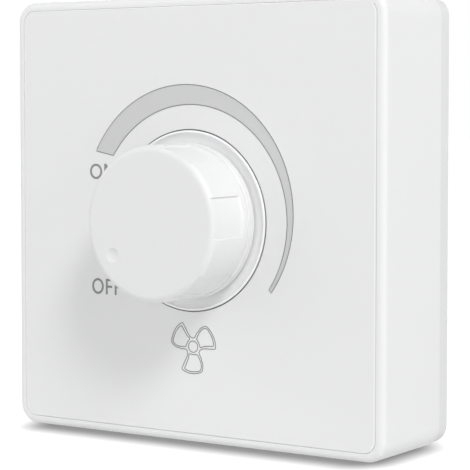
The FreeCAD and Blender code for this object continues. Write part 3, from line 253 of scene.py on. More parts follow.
# The paper darkens close to the object, fully where the camera looks and a little for light that bounces
# off it: a smooth step in the distance from a rectangle a little inside the housing's own, which is
# length(max((|place - middle| - half) / reach, 0)).
corners = np.array([corner[:] for name in ("front_shell", "back_plate")
                    for corner in frame["nodes"][name].bound_box])
low, high = corners.min(axis=0)[:2], corners.max(axis=0)[:2]
contactMiddle = (low + high) / 2 + np.array(studio["contactShift"])
contactHalf = (high - low) / 2 - np.array(studio["contactInset"])
fromMiddle = vectorNode(paper, "SUBTRACT", paperWhere.outputs["Object"], (*contactMiddle, level))
beyond = vectorNode(paper, "SUBTRACT", vectorNode(paper, "ABSOLUTE", fromMiddle), (*contactHalf, 0.0))
shared = vectorNode(paper, "DIVIDE", beyond, (*studio["contactReach"], 1.0))
distance = vectorNode(paper, "LENGTH", vectorNode(paper, "MAXIMUM", shared, (0.0, 0.0, 0.0)))
openness = spread(paper, distance, studio["contactTone"], 1.0, start=studio["contactStart"], soft=True)
weight = mathNode(paper, "MAXIMUM", paperPath.outputs["Is Camera Ray"], studio["contactBounce"])
shade = mixNumbers(paper, weight, 1.0, openness)
share = spread(paper, paperSeen, 1.0, studio["floorSeenShare"])
paperTone = vectorNode(paper, "MULTIPLY", mathNode(paper, "MULTIPLY", shade, share), studio["floorColour"])

# Light that only illuminates meets a weaker glow, which lights the foot of the housing from below.
lift = spread(paper, openness, studio["footLift"], studio["floorLift"], start=studio["contactTone"])
paperDiffuse = paper.nodes.new("ShaderNodeBsdfDiffuse")
paperGlow = paper.nodes.new("ShaderNodeEmission")
paperLift = paper.nodes.new("ShaderNodeEmission")
paperMix = paper.nodes.new("ShaderNodeMixShader")
paperAdd = paper.nodes.new("ShaderNodeAddShader")
paperOutput = paper.nodes.new("ShaderNodeOutputMaterial")
paper.links.new(paperTone, paperDiffuse.inputs["Color"])
paper.links.new(mathNode(paper, "MULTIPLY", shade, studio["floorGlow"]), paperGlow.inputs["Strength"])
paper.links.new(lift, paperLift.inputs["Strength"])
paper.links.new(paperSeen, paperMix.inputs[0])
paper.links.new(paperLift.outputs[0], paperMix.inputs[1])
paper.links.new(paperGlow.outputs[0], paperMix.inputs[2])
paper.links.new(paperDiffuse.outputs[0], paperAdd.inputs[0])
paper.links.new(paperMix.outputs[0], paperAdd.inputs[1])
paper.links.new(paperAdd.outputs[0], paperOutput.inputs["Surface"])
floor.data.materials.append(floorMaterial)
print("camera, light and floor ready")

# Effects that several finishes share
effects = {
    "fineDetail": 2.0,       # layers of noise in a fine grain
    "broadDetail": 3.0,      # and in blotches and streaks
    "edgeSamples": 4,
    "edgeGain": 4.0,         # brings the small turn of the normal at an edge up to a full mask
    "sheetBlotch": 160.0,
    "threadFacing": 0.3,     # a thread shows where the normal's own Y stays below this
    "threadStreak": 0.05,    # what is left of the streaks' relief on a thread
    "threadDepth": 0.6,      # the ridges' depth as a share of the pitch
    "coatRoughness": 0.12,
    "plasticIor": 1.49,
}
floatKind = "NodeSocketFloat"
vectorKind = "NodeSocketVector"


def newGroup(name, inputs, outputs):
    tree = bpy.data.node_groups.new(name, "ShaderNodeTree")
    for label, kind, value in inputs:
        socket = tree.interface.new_socket(name=label, in_out="INPUT", socket_type=kind)
        socket.default_value = value
    for label, kind in outputs:
        tree.interface.new_socket(name=label, in_out="OUTPUT", socket_type=kind)
    return tree, tree.nodes.new("NodeGroupInput"), tree.nodes.new("NodeGroupOutput")


# Moulded skin: a very fine grain for the relief, and broad soft blotches for tint and gloss
mouldedSkin, skinIn, skinOut = newGroup(
    "mouldedSkin",
    [("Place", vectorKind, (0, 0, 0)), ("Grain Scale", floatKind, 4000.0), ("Blotch Scale", floatKind, 40.0)],
    [("Grain", floatKind), ("Blotch", floatKind)])
for source, target, detail in (("Grain Scale", "Grain", "fineDetail"),
                               ("Blotch Scale", "Blotch", "broadDetail")):
    noise = noiseNode(mouldedSkin, skinIn.outputs["Place"], skinIn.outputs[source], effects[detail])
    mouldedSkin.links.new(noise, skinOut.inputs[target])

# Rubbed edge: how far a rounded normal turns from the true one within a small width
rubbedEdge, edgeIn, edgeOut = newGroup("rubbedEdge", [("Width", floatKind, 0.0002)], [("Mask", floatKind)])
bevel = rubbedEdge.nodes.new("ShaderNodeBevel")
bevel.samples = effects["edgeSamples"]
rubbedEdge.links.new(edgeIn.outputs["Width"], bevel.inputs["Radius"])
trueNormal = rubbedEdge.nodes.new("ShaderNodeNewGeometry")
alike = vectorNode(rubbedEdge, "DOT_PRODUCT", bevel.outputs["Normal"], trueNormal.outputs["Normal"])
turnedAway = mathNode(rubbedEdge, "SUBTRACT", 1.0, alike)
edgeMask = mathNode(rubbedEdge, "MULTIPLY", turnedAway, effects["edgeGain"], clamp=True)
rubbedEdge.links.new(edgeMask, edgeOut.inputs["Mask"])

# Rolled sheet: noise drawn out along one direction, as fine streaks
rolledSheet, sheetIn, sheetOut = newGroup(
    "rolledSheet",
    [("Place", vectorKind, (0, 0, 0)), ("Stretch", vectorKind, (1, 1, 1)), ("Scale", floatKind, 2000.0)],
    [("Streak", floatKind), ("Blotch", floatKind)])
stretched = vectorNode(rolledSheet, "MULTIPLY", sheetIn.outputs["Place"], sheetIn.outputs["Stretch"])
streaks = noiseNode(rolledSheet, stretched, sheetIn.outputs["Scale"], effects["broadDetail"])
blotches = noiseNode(rolledSheet, sheetIn.outputs["Place"], effects["sheetBlotch"], effects["broadDetail"])
rolledSheet.links.new(streaks, sheetOut.inputs["Streak"])
rolledSheet.links.new(blotches, sheetOut.inputs["Blotch"])

# Thread: ridges a pitch apart along Y, only where the surface looks sideways
threadRidges, threadIn, threadOut = newGroup(
    "threadRidges",
    [("Place", vectorKind, (0, 0, 0)), ("Facing", vectorKind, (0, 0, 1)), ("Pitch", floatKind, 0.0005)],
    [("Ridge", floatKind)])
alongThread = splitPlace(threadRidges, threadIn.outputs["Place"])[1]
facingOut = splitPlace(threadRidges, threadIn.outputs["Facing"])[1]
turns = mathNode(threadRidges, "DIVIDE", alongThread, threadIn.outputs["Pitch"])
wave = mathNode(threadRidges, "PINGPONG", turns, 0.5)
sideways = mathNode(threadRidges, "LESS_THAN", mathNode(threadRidges, "ABSOLUTE", facingOut),
                    effects["threadFacing"])
threadRidges.links.new(mathNode(threadRidges, "MULTIPLY", wave, sideways), threadOut.inputs["Ridge"])


def placeGroup(tree, group, **values):
    node = tree.nodes.new("ShaderNodeGroup")
    node.node_tree = group
    for label, value in values.items():
        node.inputs[label.replace("_", " ")].default_value = value
    return node


def startMaterial(name):
    material = bpy.data.materials.new(name)
    material.use_nodes = True
    tree = material.node_tree
    tree.nodes.clear()
    output = tree.nodes.new("ShaderNodeOutputMaterial")
    shader = tree.nodes.new("ShaderNodeBsdfPrincipled")
    where = tree.nodes.new("ShaderNodeTexCoord")
    tree.links.new(shader.outputs["BSDF"], output.inputs["Surface"])
    return material, tree, shader, where


def addRelief(tree, shader, height, depth):
    bump = tree.nodes.new("ShaderNodeBump")
    bump.inputs["Distance"].default_value = depth
    bump.inputs["Strength"].default_value = 1.0
    tree.links.new(height, bump.inputs["Height"])
    tree.links.new(bump.outputs["Normal"], shader.inputs["Normal"])


def paintEdges(tree, shader, look, colour):
    # Puts the colour on the shader, with the rubbed edges over it.
    edge = placeGroup(tree, rubbedEdge, Width=look["edgeWidth"])
    amount = mathNode(tree, "MULTIPLY", edge.outputs["Mask"], look["edgeAmount"])
    tree.links.new(mixColours(tree, amount, colour, look["edgeColour"]), shader.inputs["Base Color"])


def plasticFinish(name, look):
    # Moulded plastic, lacquer or laminate: tint and gloss wander in blotches, edges are a little paler.
    material, tree, shader, where = startMaterial(name)
    skin = placeGroup(tree, mouldedSkin, Grain_Scale=look["grainScale"], Blotch_Scale=look["blotchScale"])
    tree.links.new(where.outputs["Object"], skin.inputs["Place"])
    colour = mixColours(tree, skin.outputs["Blotch"], look["colour"], look["tint"])
    if "pattern" in look:
        colour = look["pattern"](tree, where, colour)
    paintEdges(tree, shader, look, colour)
    tree.links.new(spread(tree, skin.outputs["Blotch"], *look["gloss"]), shader.inputs["Roughness"])
    shader.inputs["IOR"].default_value = effects["plasticIor"]
    if "coat" in look:
        shader.inputs["Coat Weight"].default_value = look["coat"]
        shader.inputs["Coat Roughness"].default_value = effects["coatRoughness"]
    addRelief(tree, shader, skin.outputs["Grain"], look["grainDepth"])
    return material


def metalFinish(name, look):
    # Bare or plated metal: streaks in gloss, blotches in tint, polished edges, and ridges on a thread.
    material, tree, shader, where = startMaterial(name)
    sheet = placeGroup(tree, rolledSheet, Stretch=look["stretch"], Scale=look["scale"])
    tree.links.new(where.outputs["Object"], sheet.inputs["Place"])
    paintEdges(tree, shader, look, mixColours(tree, sheet.outputs["Blotch"], look["colour"], look["tint"]))
    shader.inputs["Metallic"].default_value = 1.0
    tree.links.new(spread(tree, sheet.outputs["Streak"], *look["gloss"]), shader.inputs["Roughness"])
    height = sheet.outputs["Streak"]
    depth = look["grainDepth"]
    if "pitch" in look:
        ridges = placeGroup(tree, threadRidges, Pitch=look["pitch"])
        tree.links.new(where.outputs["Object"], ridges.inputs["Place"])
        tree.links.new(where.outputs["Normal"], ridges.inputs["Facing"])
        faint = mathNode(tree, "MULTIPLY", height, effects["threadStreak"])
        height = mathNode(tree, "ADD", faint, ridges.outputs["Ridge"])
        depth = look["pitch"] * effects["threadDepth"]
    addRelief(tree, shader, height, depth)
    return material


def paler(colour, gain, lift=0.0):
    return tuple(min(1.0, part * gain + lift) for part in colour)


finishes = {}

# The fine gap round the dial: its radii, how far its walls turn from the front, and the grey of the shade
# painted on them
dialGap = {"inner": 0.01740, "outer": 0.01765, "sideways": 0.5, "paintedShade": (0.44, 0.44, 0.44)}


def paintedGapShade(tree, where, colour):
    # Painted shade darkens the walls of the gap: a ring in radius, where the surface looks sideways.
    across, _, up = splitPlace(tree, where.outputs["Object"])
    facingOut = splitPlace(tree, where.outputs["Normal"])[1]
    ring = between(tree, lengthOf(tree, across, up), dialGap["inner"], dialGap["outer"])
    sideways = mathNode(tree, "LESS_THAN", mathNode(tree, "ABSOLUTE", facingOut), dialGap["sideways"])
    return mixColours(tree, mathNode(tree, "MULTIPLY", ring, sideways), colour, dialGap["paintedShade"])


# The front plate's outline, how far in from it its rounded rim and the strip beside it reach, and the greys of
# the highlights and shade painted on them
plateRim = {
    "half": 0.04127, "corner": 0.00257, "rim": 0.00016, "strip": (0.00022, 0.00046),
    "paintedShade": (0.66, 0.66, 0.66), "paintedRimHighlight": (0.95, 0.95, 0.95), "paintedStripHighlight": (0.92, 0.92, 0.92),
}


def plateTones(tree, where, colour):
    # The painted shade round the dial, and the plate's rim: a painted highlight at the left and the top,
    # painted shade at the right beside a strip with a painted highlight. The way in from the outline is corner
    # - length(max(|place| - (half - corner), 0)).
    colour = paintedGapShade(tree, where, colour)
    across, _, up = splitPlace(tree, where.outputs["Object"])
    fromAxis = [mathNode(tree, "ABSOLUTE", side) for side in (across, up)]
    straight = plateRim["half"] - plateRim["corner"]
    past = [mathNode(tree, "MAXIMUM", mathNode(tree, "SUBTRACT", side, straight), 0.0) for side in fromAxis]
    inset = mathNode(tree, "SUBTRACT", plateRim["corner"], lengthOf(tree, *past))
    rim = mathNode(tree, "LESS_THAN", inset, plateRim["rim"])
    strip = between(tree, inset, *plateRim["strip"])
    right = mathNode(tree, "GREATER_THAN", across, fromAxis[1])
    left = mathNode(tree, "LESS_THAN", mathNode(tree, "ADD", across, fromAxis[1]), 0.0)
    top = mathNode(tree, "GREATER_THAN", up, fromAxis[0])
    leftOrTop = mathNode(tree, "MAXIMUM", left, top)
    for band, side, tone in ((rim, leftOrTop, "paintedRimHighlight"), (strip, right, "paintedStripHighlight"), (rim, right, "paintedShade")):
        colour = mixColours(tree, mathNode(tree, "MULTIPLY", band, side), colour, plateRim[tone])
    return colour


# White mouldings. The outer ones share one resin; the knob has a finer satin and paler edges.
mouldedLook = {
    "grainScale": 5200.0, "blotchScale": 34.0, "grainDepth": 0.0000025,
    "edgeWidth": 0.00025, "edgeAmount": 0.25, "edgeColour": (0.88, 0.882, 0.885),
}
whiteMouldings = {
    "shell_plastic": {"colour": (0.835, 0.837, 0.840), "tint": (0.825, 0.827, 0.831), "gloss": (0.34, 0.42)},
    "fascia_plastic": {"colour": (0.825, 0.827, 0.830), "tint": (0.815, 0.817, 0.821), "gloss": (0.26, 0.34),
                       "pattern": plateTones},
    # The dial ring is paler than the other mouldings: painted light that lifts the shade in the dish round the
    # knob
    "dial_plastic": {"colour": (0.925, 0.927, 0.930), "tint": (0.915, 0.917, 0.920), "gloss": (0.30, 0.38),
                     "pattern": paintedGapShade},
    "knob_plastic": {"colour": (0.808, 0.810, 0.813), "tint": (0.798, 0.800, 0.804), "gloss": (0.36, 0.44),
                     "edgeAmount": 0.60, "edgeColour": (0.92, 0.922, 0.925)},
    "back_plastic": {"colour": (0.770, 0.772, 0.775), "tint": (0.757, 0.759, 0.762), "gloss": (0.44, 0.54),
                     "grainScale": 3000.0, "grainDepth": 0.000008},
    "terminal_plastic": {"colour": (0.740, 0.735, 0.715), "tint": (0.720, 0.715, 0.690),
                         "gloss": (0.34, 0.44)},
    "rotor_plastic": {"colour": (0.720, 0.700, 0.620), "tint": (0.690, 0.665, 0.580), "gloss": (0.36, 0.48)},
}
for name, look in whiteMouldings.items():
    finishes[name] = plasticFinish(name, mouldedLook | look)
print("white mouldings ready")

# The mask on the rear of the board
boardMask = {
    "block": (0.10, 0.24, 0.09, 1.0), "otherBlock": (0.13, 0.29, 0.11, 1.0), "line": (0.30, 0.33, 0.14, 1.0),
    "scale": 130.0, "lineWidth": 0.03, "rear": -0.00505,
}


def boardPattern(tree, where, colour):
    # Copper areas under the mask: large blocks parted by thin bare lines, behind the board's own rear level.
    across, depth, up = splitPlace(tree, where.outputs["Object"])
    flat = tree.nodes.new("ShaderNodeCombineXYZ")
    tree.links.new(across, flat.inputs["X"])
    tree.links.new(up, flat.inputs["Y"])
    bricks = tree.nodes.new("ShaderNodeTexBrick")
    tree.links.new(flat.outputs[0], bricks.inputs["Vector"])
    for label, value in (("Color1", "block"), ("Color2", "otherBlock"), ("Mortar", "line"),
                         ("Scale", "scale"), ("Mortar Size", "lineWidth")):
        bricks.inputs[label].default_value = boardMask[value]
    rear = mathNode(tree, "GREATER_THAN", depth, boardMask["rear"])
    return mixColours(tree, rear, colour, bricks.outputs["Color"])


# The carbon track on the rear of the wafer
carbonTrack = {"inner": 0.0043, "outer": 0.0067, "rear": -0.01362, "colour": (0.025, 0.025, 0.027)}


def trackPattern(tree, where, colour):
    # A dark ring about the shaft, behind the wafer's own rear level.
    across, depth, up = splitPlace(tree, where.outputs["Object"])
    band = between(tree, lengthOf(tree, across, up), carbonTrack["inner"], carbonTrack["outer"])
    rear = mathNode(tree, "GREATER_THAN", depth, carbonTrack["rear"])
    return mixColours(tree, mathNode(tree, "MULTIPLY", band, rear), colour, carbonTrack["colour"])


# The resistors' bodies along X, with the rings as shares of their length
resistorBody = {
    "start": -0.0177, "length": 0.0064, "legs": -0.00662, "bodyFrom": 0.02, "bodyTo": 0.985,
    "wire": (0.62, 0.62, 0.60), "lacquer": (0.66, 0.52, 0.34),
    "rings": [(0.16, 0.23, (0.42, 0.12, 0.03)), (0.33, 0.40, (0.02, 0.02, 0.02)),
              (0.50, 0.57, (0.75, 0.30, 0.02)), (0.76, 0.83, (0.55, 0.38, 0.08))],
}


def resistorBands(tree, where, colour):
    # Four painted rings across the body, and tinned wire beyond its ends and on the legs behind it. They
    # cover the colour that comes in.
    wire, lacquer = resistorBody["wire"], resistorBody["lacquer"]
    stops = [(0.0, wire), (resistorBody["bodyFrom"], lacquer)]
    for start, end, tone in resistorBody["rings"]:
        stops += [(start, tone), (end, lacquer)]
    stops.append((resistorBody["bodyTo"], wire))
    across, depth, _ = splitPlace(tree, where.outputs["Object"])
    along = mathNode(tree, "SUBTRACT", across, resistorBody["start"])
    ramp = tree.nodes.new("ShaderNodeValToRGB")
    ramp.color_ramp.interpolation = "CONSTANT"
    elements = ramp.color_ramp.elements
    for index, (position, tone) in enumerate(stops):
        element = elements[index] if index < 2 else elements.new(position)   # a new ramp has two stops
        element.position = position
        element.color = (*tone, 1.0)
    tree.links.new(mathNode(tree, "DIVIDE", along, resistorBody["length"]), ramp.inputs["Fac"])
    body = mathNode(tree, "LESS_THAN", depth, resistorBody["legs"])
    return mixColours(tree, body, wire, ramp.outputs["Color"])


# Lacquers, laminates and dark mouldings inside
innerLook = {
    "grainScale": 3600.0, "blotchScale": 120.0, "grainDepth": 0.000006,
    "edgeWidth": 0.00015, "edgeAmount": 0.2,
}
innerEdge = {"gain": 1.35, "lift": 0.02}
innerLooks = {
    "switch_plastic": {"colour": (0.045, 0.045, 0.048), "tint": (0.060, 0.060, 0.064), "gloss": (0.36, 0.50)},
    "black_moulding": {"colour": (0.025, 0.025, 0.026), "tint": (0.040, 0.040, 0.041), "gloss": (0.50, 0.66)},
    "wafer_laminate": {"colour": (0.30, 0.15, 0.06), "tint": (0.24, 0.115, 0.045), "gloss": (0.40, 0.55),
                       "pattern": trackPattern},
    "board_laminate": {"colour": (0.42, 0.31, 0.13), "tint": (0.37, 0.27, 0.11), "gloss": (0.30, 0.42),
                       "pattern": boardPattern},
    "resistor_coat": {"colour": (0.66, 0.52, 0.34), "tint": (0.60, 0.47, 0.30), "gloss": (0.22, 0.34),
                      "pattern": resistorBands, "coat": 0.4},
    "diac_coat": {"colour": (0.05, 0.16, 0.42), "tint": (0.04, 0.13, 0.36), "gloss": (0.20, 0.32),
                  "coat": 0.4},
    "capacitor_case": {"colour": (0.62, 0.45, 0.06), "tint": (0.56, 0.40, 0.05), "gloss": (0.26, 0.36)},
    "timing_case": {"colour": (0.42, 0.05, 0.03), "tint": (0.36, 0.04, 0.025), "gloss": (0.20, 0.30)},
    "varistor_coat": {"colour": (0.03, 0.09, 0.30), "tint": (0.025, 0.075, 0.25), "gloss": (0.18, 0.34),
                      "coat": 0.4},
    "ferrite": {"colour": (0.050, 0.052, 0.055), "tint": (0.075, 0.076, 0.078), "gloss": (0.62, 0.80)},
}
for name, look in innerLooks.items():
    edgeColour = paler(look["colour"], innerEdge["gain"], innerEdge["lift"])
    finishes[name] = plasticFinish(name, innerLook | look | {"edgeColour": edgeColour})

# Metals; stretch draws the streaks across X, Y and Z, and pitch is a thread's
metalLook = {"scale": 900.0, "grainDepth": 0.000004, "edgeWidth": 0.00012, "edgeAmount": 0.35}
metalEdge = {"gain": 1.25}
metalLooks = {
    "brass_parts": {"colour": (0.70, 0.49, 0.20), "tint": (0.62, 0.42, 0.16), "gloss": (0.22, 0.36),
                    "stretch": (1, 9, 1)},
    "contact_metal": {"colour": (0.68, 0.43, 0.22), "tint": (0.58, 0.35, 0.17), "gloss": (0.20, 0.34),
                      "stretch": (8, 1, 1)},
    "enamelled_wire": {"colour": (0.58, 0.19, 0.06), "tint": (0.48, 0.14, 0.04), "gloss": (0.16, 0.26),
                       "stretch": (1, 1, 1)},
    "plated_steel": {"colour": (0.66, 0.67, 0.69), "tint": (0.58, 0.60, 0.64), "gloss": (0.24, 0.38),
                     "stretch": (1, 8, 1), "pitch": 0.0005},
    "spring_steel": {"colour": (0.46, 0.46, 0.48), "tint": (0.36, 0.36, 0.39), "gloss": (0.22, 0.36),
                     "stretch": (1, 6, 1)},
    "shaft_metal": {"colour": (0.70, 0.69, 0.66), "tint": (0.63, 0.62, 0.59), "gloss": (0.16, 0.30),
                    "stretch": (1, 14, 1)},
    "can_metal": {"colour": (0.62, 0.62, 0.62), "tint": (0.54, 0.54, 0.55), "gloss": (0.22, 0.36),
                  "stretch": (1, 6, 1)},
    "tinned_metal": {"colour": (0.68, 0.68, 0.67), "tint": (0.60, 0.60, 0.60), "gloss": (0.26, 0.42),
                     "stretch": (1, 4, 1)},
    "cap_metal": {"colour": (0.70, 0.68, 0.64), "tint": (0.62, 0.60, 0.57), "gloss": (0.16, 0.28),
                  "stretch": (6, 1, 1)},
    "zinc_casting": {"colour": (0.58, 0.58, 0.59), "tint": (0.50, 0.50, 0.52), "gloss": (0.34, 0.50),
                     "stretch": (1, 1, 1), "pitch": 0.00075},
    "sink_metal": {"colour": (0.74, 0.745, 0.75), "tint": (0.68, 0.685, 0.69), "gloss": (0.28, 0.44),
                   "stretch": (0.6, 1, 12)},
}
for name, look in metalLooks.items():
    edgeColour = paler(look["colour"], metalEdge["gain"])
    finishes[name] = metalFinish(name, metalLook | look | {"edgeColour": edgeColour})

# Clear glass of the fuse, with a faint ripple
fuseGlass = {"colour": (0.96, 0.98, 0.98, 1.0), "ior": 1.50, "gloss": (0.01, 0.05),
             "grainScale": 600.0, "blotchScale": 120.0, "grainDepth": 0.000004}
finishes["fuse_glass"], glassTree, glassShader, glassWhere = startMaterial("fuse_glass")
glassSkin = placeGroup(glassTree, mouldedSkin, Grain_Scale=fuseGlass["grainScale"],
                       Blotch_Scale=fuseGlass["blotchScale"])
glassTree.links.new(glassWhere.outputs["Object"], glassSkin.inputs["Place"])
glassShader.inputs["Base Color"].default_value = fuseGlass["colour"]
glassShader.inputs["Transmission Weight"].default_value = 1.0
glassShader.inputs["IOR"].default_value = fuseGlass["ior"]
glassTree.links.new(spread(glassTree, glassSkin.outputs["Blotch"], *fuseGlass["gloss"]),
                    glassShader.inputs["Roughness"])
addRelief(glassTree, glassShader, glassSkin.outputs["Grain"], fuseGlass["grainDepth"])

for part in frame["record"]["subparts"]:
    thing = frame["nodes"][part["node"]]
    if not thing.material_slots:
        thing.data.materials.append(finishes[part["material_slot"]])
    for slot in thing.material_slots:
        slot.material = finishes[part["material_slot"]]
print("finishes ready:", len(finishes))

# The print on the front plate is a film, 0.03 mm proud of the plate and 0.02 mm into it.
printFilm = {"plateFront": -0.025, "rise": 0.00003, "sink": 0.00002}
millimetre = 0.001
inkLook = {"gloss": (0.30, 0.38), "grainScale": 5200.0, "blotchScale": 90.0, "grainDepth": 0.000002,
           "edgeWidth": 0.00004, "edgeAmount": 0.1}


def inkFinish(name, colour, tint):
    return plasticFinish(name, inkLook | {"colour": colour, "tint": tint, "edgeColour": tint})


def layered(loops):
    # Every flat loop of x and z, once at the film's front level and once at its rear level, in metres.
    flat = np.concatenate(loops) * millimetre
    depth = np.full(len(flat), printFilm["plateFront"] - printFilm["rise"])
    front = np.column_stack([flat[:, 0], depth, flat[:, 1]])
    rear = front + np.array([0.0, printFilm["rise"] + printFilm["sink"], 0.0])
    return np.concatenate([front, rear])


def anticlockwise(loop):
    # The signed area by the shoelace sum says which way a loop runs.
    ahead = np.roll(loop, -1, axis=0)
    area = np.sum(loop[:, 0] * ahead[:, 1] - ahead[:, 0] * loop[:, 1])
    return loop if area > 0 else loop[::-1]


def ringFilm(name, outer, inner):
    # Quads between two closed loops of the same count, front and rear, and the two walls.
    count = len(outer)
    here = np.arange(count)
    ahead = (here + 1) % count
    back = 2 * count
    faces = np.concatenate([
        np.column_stack([here, ahead, ahead + count, here + count]),
        np.column_stack([here + back, here + count + back, ahead + count + back, ahead + back]),
        np.column_stack([here, here + back, ahead + back, ahead]),
        np.column_stack([here + count, ahead + count, ahead + count + back, here + count + back])])
    return makeMesh(name, layered([outer, inner]), faces.tolist())


def plateFilm(name, loop):
    # One flat shape with a straight wall round it.
    loop = anticlockwise(loop)
    count = len(loop)
    here = np.arange(count)
    ahead = (here + 1) % count
    walls = np.column_stack([here, here + count, ahead + count, ahead])
    faces = [here.tolist(), (here + count)[::-1].tolist()] + walls.tolist()
    return makeMesh(name, layered([loop]), faces)


def stripFilm(name, outer, inner):
    # A band between two open rails that run clockwise, closed at both ends.
    count = len(outer)
    here = np.arange(count - 1)
    back = 2 * count
    faces = np.concatenate([
        np.column_stack([here + 1, here, here + count, here + 1 + count]),
        np.column_stack([here + back, here + 1 + back, here + 1 + count + back, here + count + back]),
        np.column_stack([here, here + 1, here + 1 + back, here + back]),
        np.column_stack([here + 1 + count, here + count, here + count + back, here + 1 + count + back])])
    last = count - 1
    ends = [[0, back, back + count, count], [last, last + count, last + count + back, last + back]]
    return makeMesh(name, layered([outer, inner]), faces.tolist() + ends)


def lineAlong(name, loop, width):
    # A closed line: each point moves half the width to both sides of the path, square to its tangent.
    loop = anticlockwise(loop)
    tangent = np.roll(loop, -1, axis=0) - np.roll(loop, 1, axis=0)
    tangent /= np.linalg.norm(tangent, axis=1)[:, None]
    outward = np.column_stack([tangent[:, 1], -tangent[:, 0]])
    return ringFilm(name, loop + outward * width / 2, loop - outward * width / 2)


def smoothLoop(keys, perKey=8):
    # A closed Catmull-Rom curve: a cubic between each two keys whose slopes come from their neighbours.
    step = np.linspace(0.0, 1.0, perKey, endpoint=False)[None, :, None]
    before = np.roll(keys, 1, axis=0)[:, None, :]
    here = keys[:, None, :]
    ahead = np.roll(keys, -1, axis=0)[:, None, :]
    beyond = np.roll(keys, -2, axis=0)[:, None, :]
    slope = ahead - before
    square = 2 * before - 5 * here + 4 * ahead - beyond
    cubic = 3 * here - before - 3 * ahead + beyond
    curve = 0.5 * (2 * here + slope * step + square * step ** 2 + cubic * step ** 3)
    return curve.reshape(-1, 2)


def arcPoints(centre, radius, start, end, count):
    angle = np.radians(np.linspace(start, end, count))
    return np.column_stack([centre[0] + radius * np.cos(angle), centre[1] + radius * np.sin(angle)])


def ridePrint(thing, finish):
    thing.data.materials.append(finish)
    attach(thing, "housing")


# The speed band, in millimetres and degrees: it tapers from the upper left, over the top, to the lower
# right.
speedBand = {
    "outer": {"centre": (-1.01, 1.64), "radius": 24.56, "start": 152.05, "end": -36.6},
    "inner": {"centre": (0.14, 0.29), "radius": 22.07, "start": 147.07, "end": -35.03},
    "count": 160, "lineWidth": 0.15,
}
outerRail = arcPoints(**speedBand["outer"], count=speedBand["count"])
innerRail = arcPoints(**speedBand["inner"], count=speedBand["count"])
bandInk = inkFinish("bandInk", (0.62, 0.622, 0.625), (0.60, 0.602, 0.605))
bandLineInk = inkFinish("bandLineInk", (0.28, 0.281, 0.284), (0.30, 0.301, 0.304))
lineInk = inkFinish("lineInk", (0.21, 0.21, 0.212), (0.24, 0.24, 0.242))
letterInk = inkFinish("letterInk", (0.235, 0.235, 0.238), (0.255, 0.255, 0.258))
ridePrint(stripFilm("speedBandFill", outerRail, innerRail), bandInk)
bandEdge = np.concatenate([outerRail, innerRail[::-1]])
ridePrint(lineAlong("speedBandLine", bandEdge, speedBand["lineWidth"]), bandLineInk)

# The words at the two ends of the turn, in millimetres. A ring has its left, right, lower and upper ends,
# and a letter its left end, width, foot and height.
words = {
    "stroke": 0.45, "ringPoints": 72,
    "slantFoot": 1.15,                       # the slanting bar's width on a stem, in strokes
    "middleBar": 0.43, "middleWidth": 0.92,  # shares of a letter's height and width
    "onRing": (-24.29, -21.27, 7.54, 10.62),
    "onLetter": (-20.70, 2.45, 7.54, 3.10),
    "offRing": (-23.86, -20.96, -15.40, -12.22),
    "offFirst": (-20.42, 1.70, -15.36, 3.10),
    "offSecond": (-18.20, 1.70, -15.36, 3.10),
}


def roundLetter(name, box):
    # An upright oval ring, drawn as its middle line with a stroke.
    left, right, lower, upper = box
    angle = np.linspace(0.0, 2 * np.pi, words["ringPoints"], endpoint=False)
    half = words["stroke"] / 2
    loop = np.column_stack([(left + right) / 2 + ((right - left) / 2 - half) * np.cos(angle),
                            (lower + upper) / 2 + ((upper - lower) / 2 - half) * np.sin(angle)])
    return lineAlong(name, loop, words["stroke"])


def slantLetter(name, place):
    # Two stems and the slanting bar between them.
    x, width, z, height = place
    bar = words["stroke"]
    foot = bar * words["slantFoot"]
    rise = height * bar / (width - foot)
    shape = np.array([(0, 0), (bar, 0), (bar, height - rise), (width - foot, 0), (width, 0), (width, height),
                      (width - bar, height), (width - bar, rise), (foot, height), (0, height)])
    return plateFilm(name, shape + np.array([x, z]))


def barLetter(name, place):
    # A stem with a top bar and a shorter middle bar.
    x, width, z, height = place
    bar = words["stroke"]
    middle = height * words["middleBar"]
    short = width * words["middleWidth"]
    shape = np.array([(0, 0), (bar, 0), (bar, middle), (short, middle), (short, middle + bar),
                      (bar, middle + bar), (bar, height - bar), (width, height - bar), (width, height),
                      (0, height)])
    return plateFilm(name, shape + np.array([x, z]))


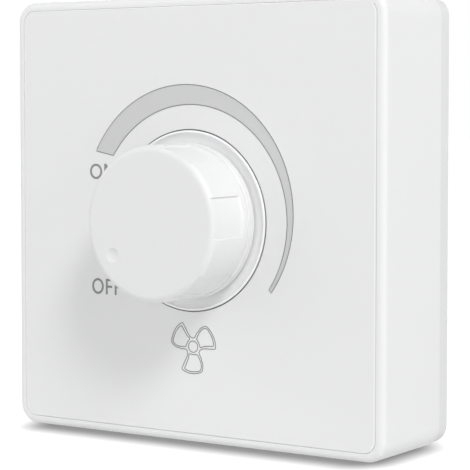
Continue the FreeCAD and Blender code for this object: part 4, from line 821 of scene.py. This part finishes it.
ridePrint(roundLetter("wordOnO", words["onRing"]), letterInk)
ridePrint(slantLetter("wordOnN", words["onLetter"]), letterInk)
ridePrint(roundLetter("wordOffO", words["offRing"]), letterInk)
ridePrint(barLetter("wordOffFirst", words["offFirst"]), letterInk)
ridePrint(barLetter("wordOffSecond", words["offSecond"]), letterInk)

# The fan sign: one blade as angles and radii about its hub, in degrees and millimetres, drawn three times.
# The outside lines join up into one, and the inside ones close by themselves.
fanSign = {
    "centre": (0.81, -24.34), "lineWidth": 0.17, "hubRadius": 1.09, "hubPoints": 72, "blades": 3,
    "outside": [(-21, 1.74), (-8, 2.23), (-4, 3.04), (-3, 3.87), (-2, 4.69), (-1, 5.13), (4, 5.26), (16, 5.29),
                (29, 5.24), (41, 5.22), (53, 5.13), (60, 4.54), (66, 3.80), (67, 3.35), (72, 2.84), (76, 2.04),
                (84, 1.73)],
    "inside": [(-2, 1.73), (4, 2.39), (5, 3.14), (5, 3.99), (5, 4.70), (9, 4.84), (16, 4.87), (27, 4.87),
               (40, 4.85), (49, 4.83), (56, 4.37), (61, 3.58), (63, 2.48), (61, 1.75), (50, 1.60),
               (26, 1.55)],
}


def aboutHub(pairs, blade):
    # Angle and radius pairs, turned to a blade's place, as x and z about the sign's hub
    pairs = np.array(pairs, float)
    angle = np.radians(pairs[:, 0] + 360 * blade / fanSign["blades"])
    about = np.column_stack([np.cos(angle), np.sin(angle)])
    return np.array(fanSign["centre"]) + pairs[:, 1:] * about


def printLine(name, loop):
    ridePrint(lineAlong(name, loop, fanSign["lineWidth"]), lineInk)


allRound = np.concatenate([aboutHub(fanSign["outside"], blade) for blade in range(fanSign["blades"])])
printLine("fanOutline", smoothLoop(allRound))
for blade in range(fanSign["blades"]):
    printLine("fanBlade" + str(blade + 1), smoothLoop(aboutHub(fanSign["inside"], blade)))
lastAngle = 360.0 - 360.0 / fanSign["hubPoints"]
printLine("fanHub", arcPoints(fanSign["centre"], fanSign["hubRadius"], 0.0, lastAngle, fanSign["hubPoints"]))
print("print ready")
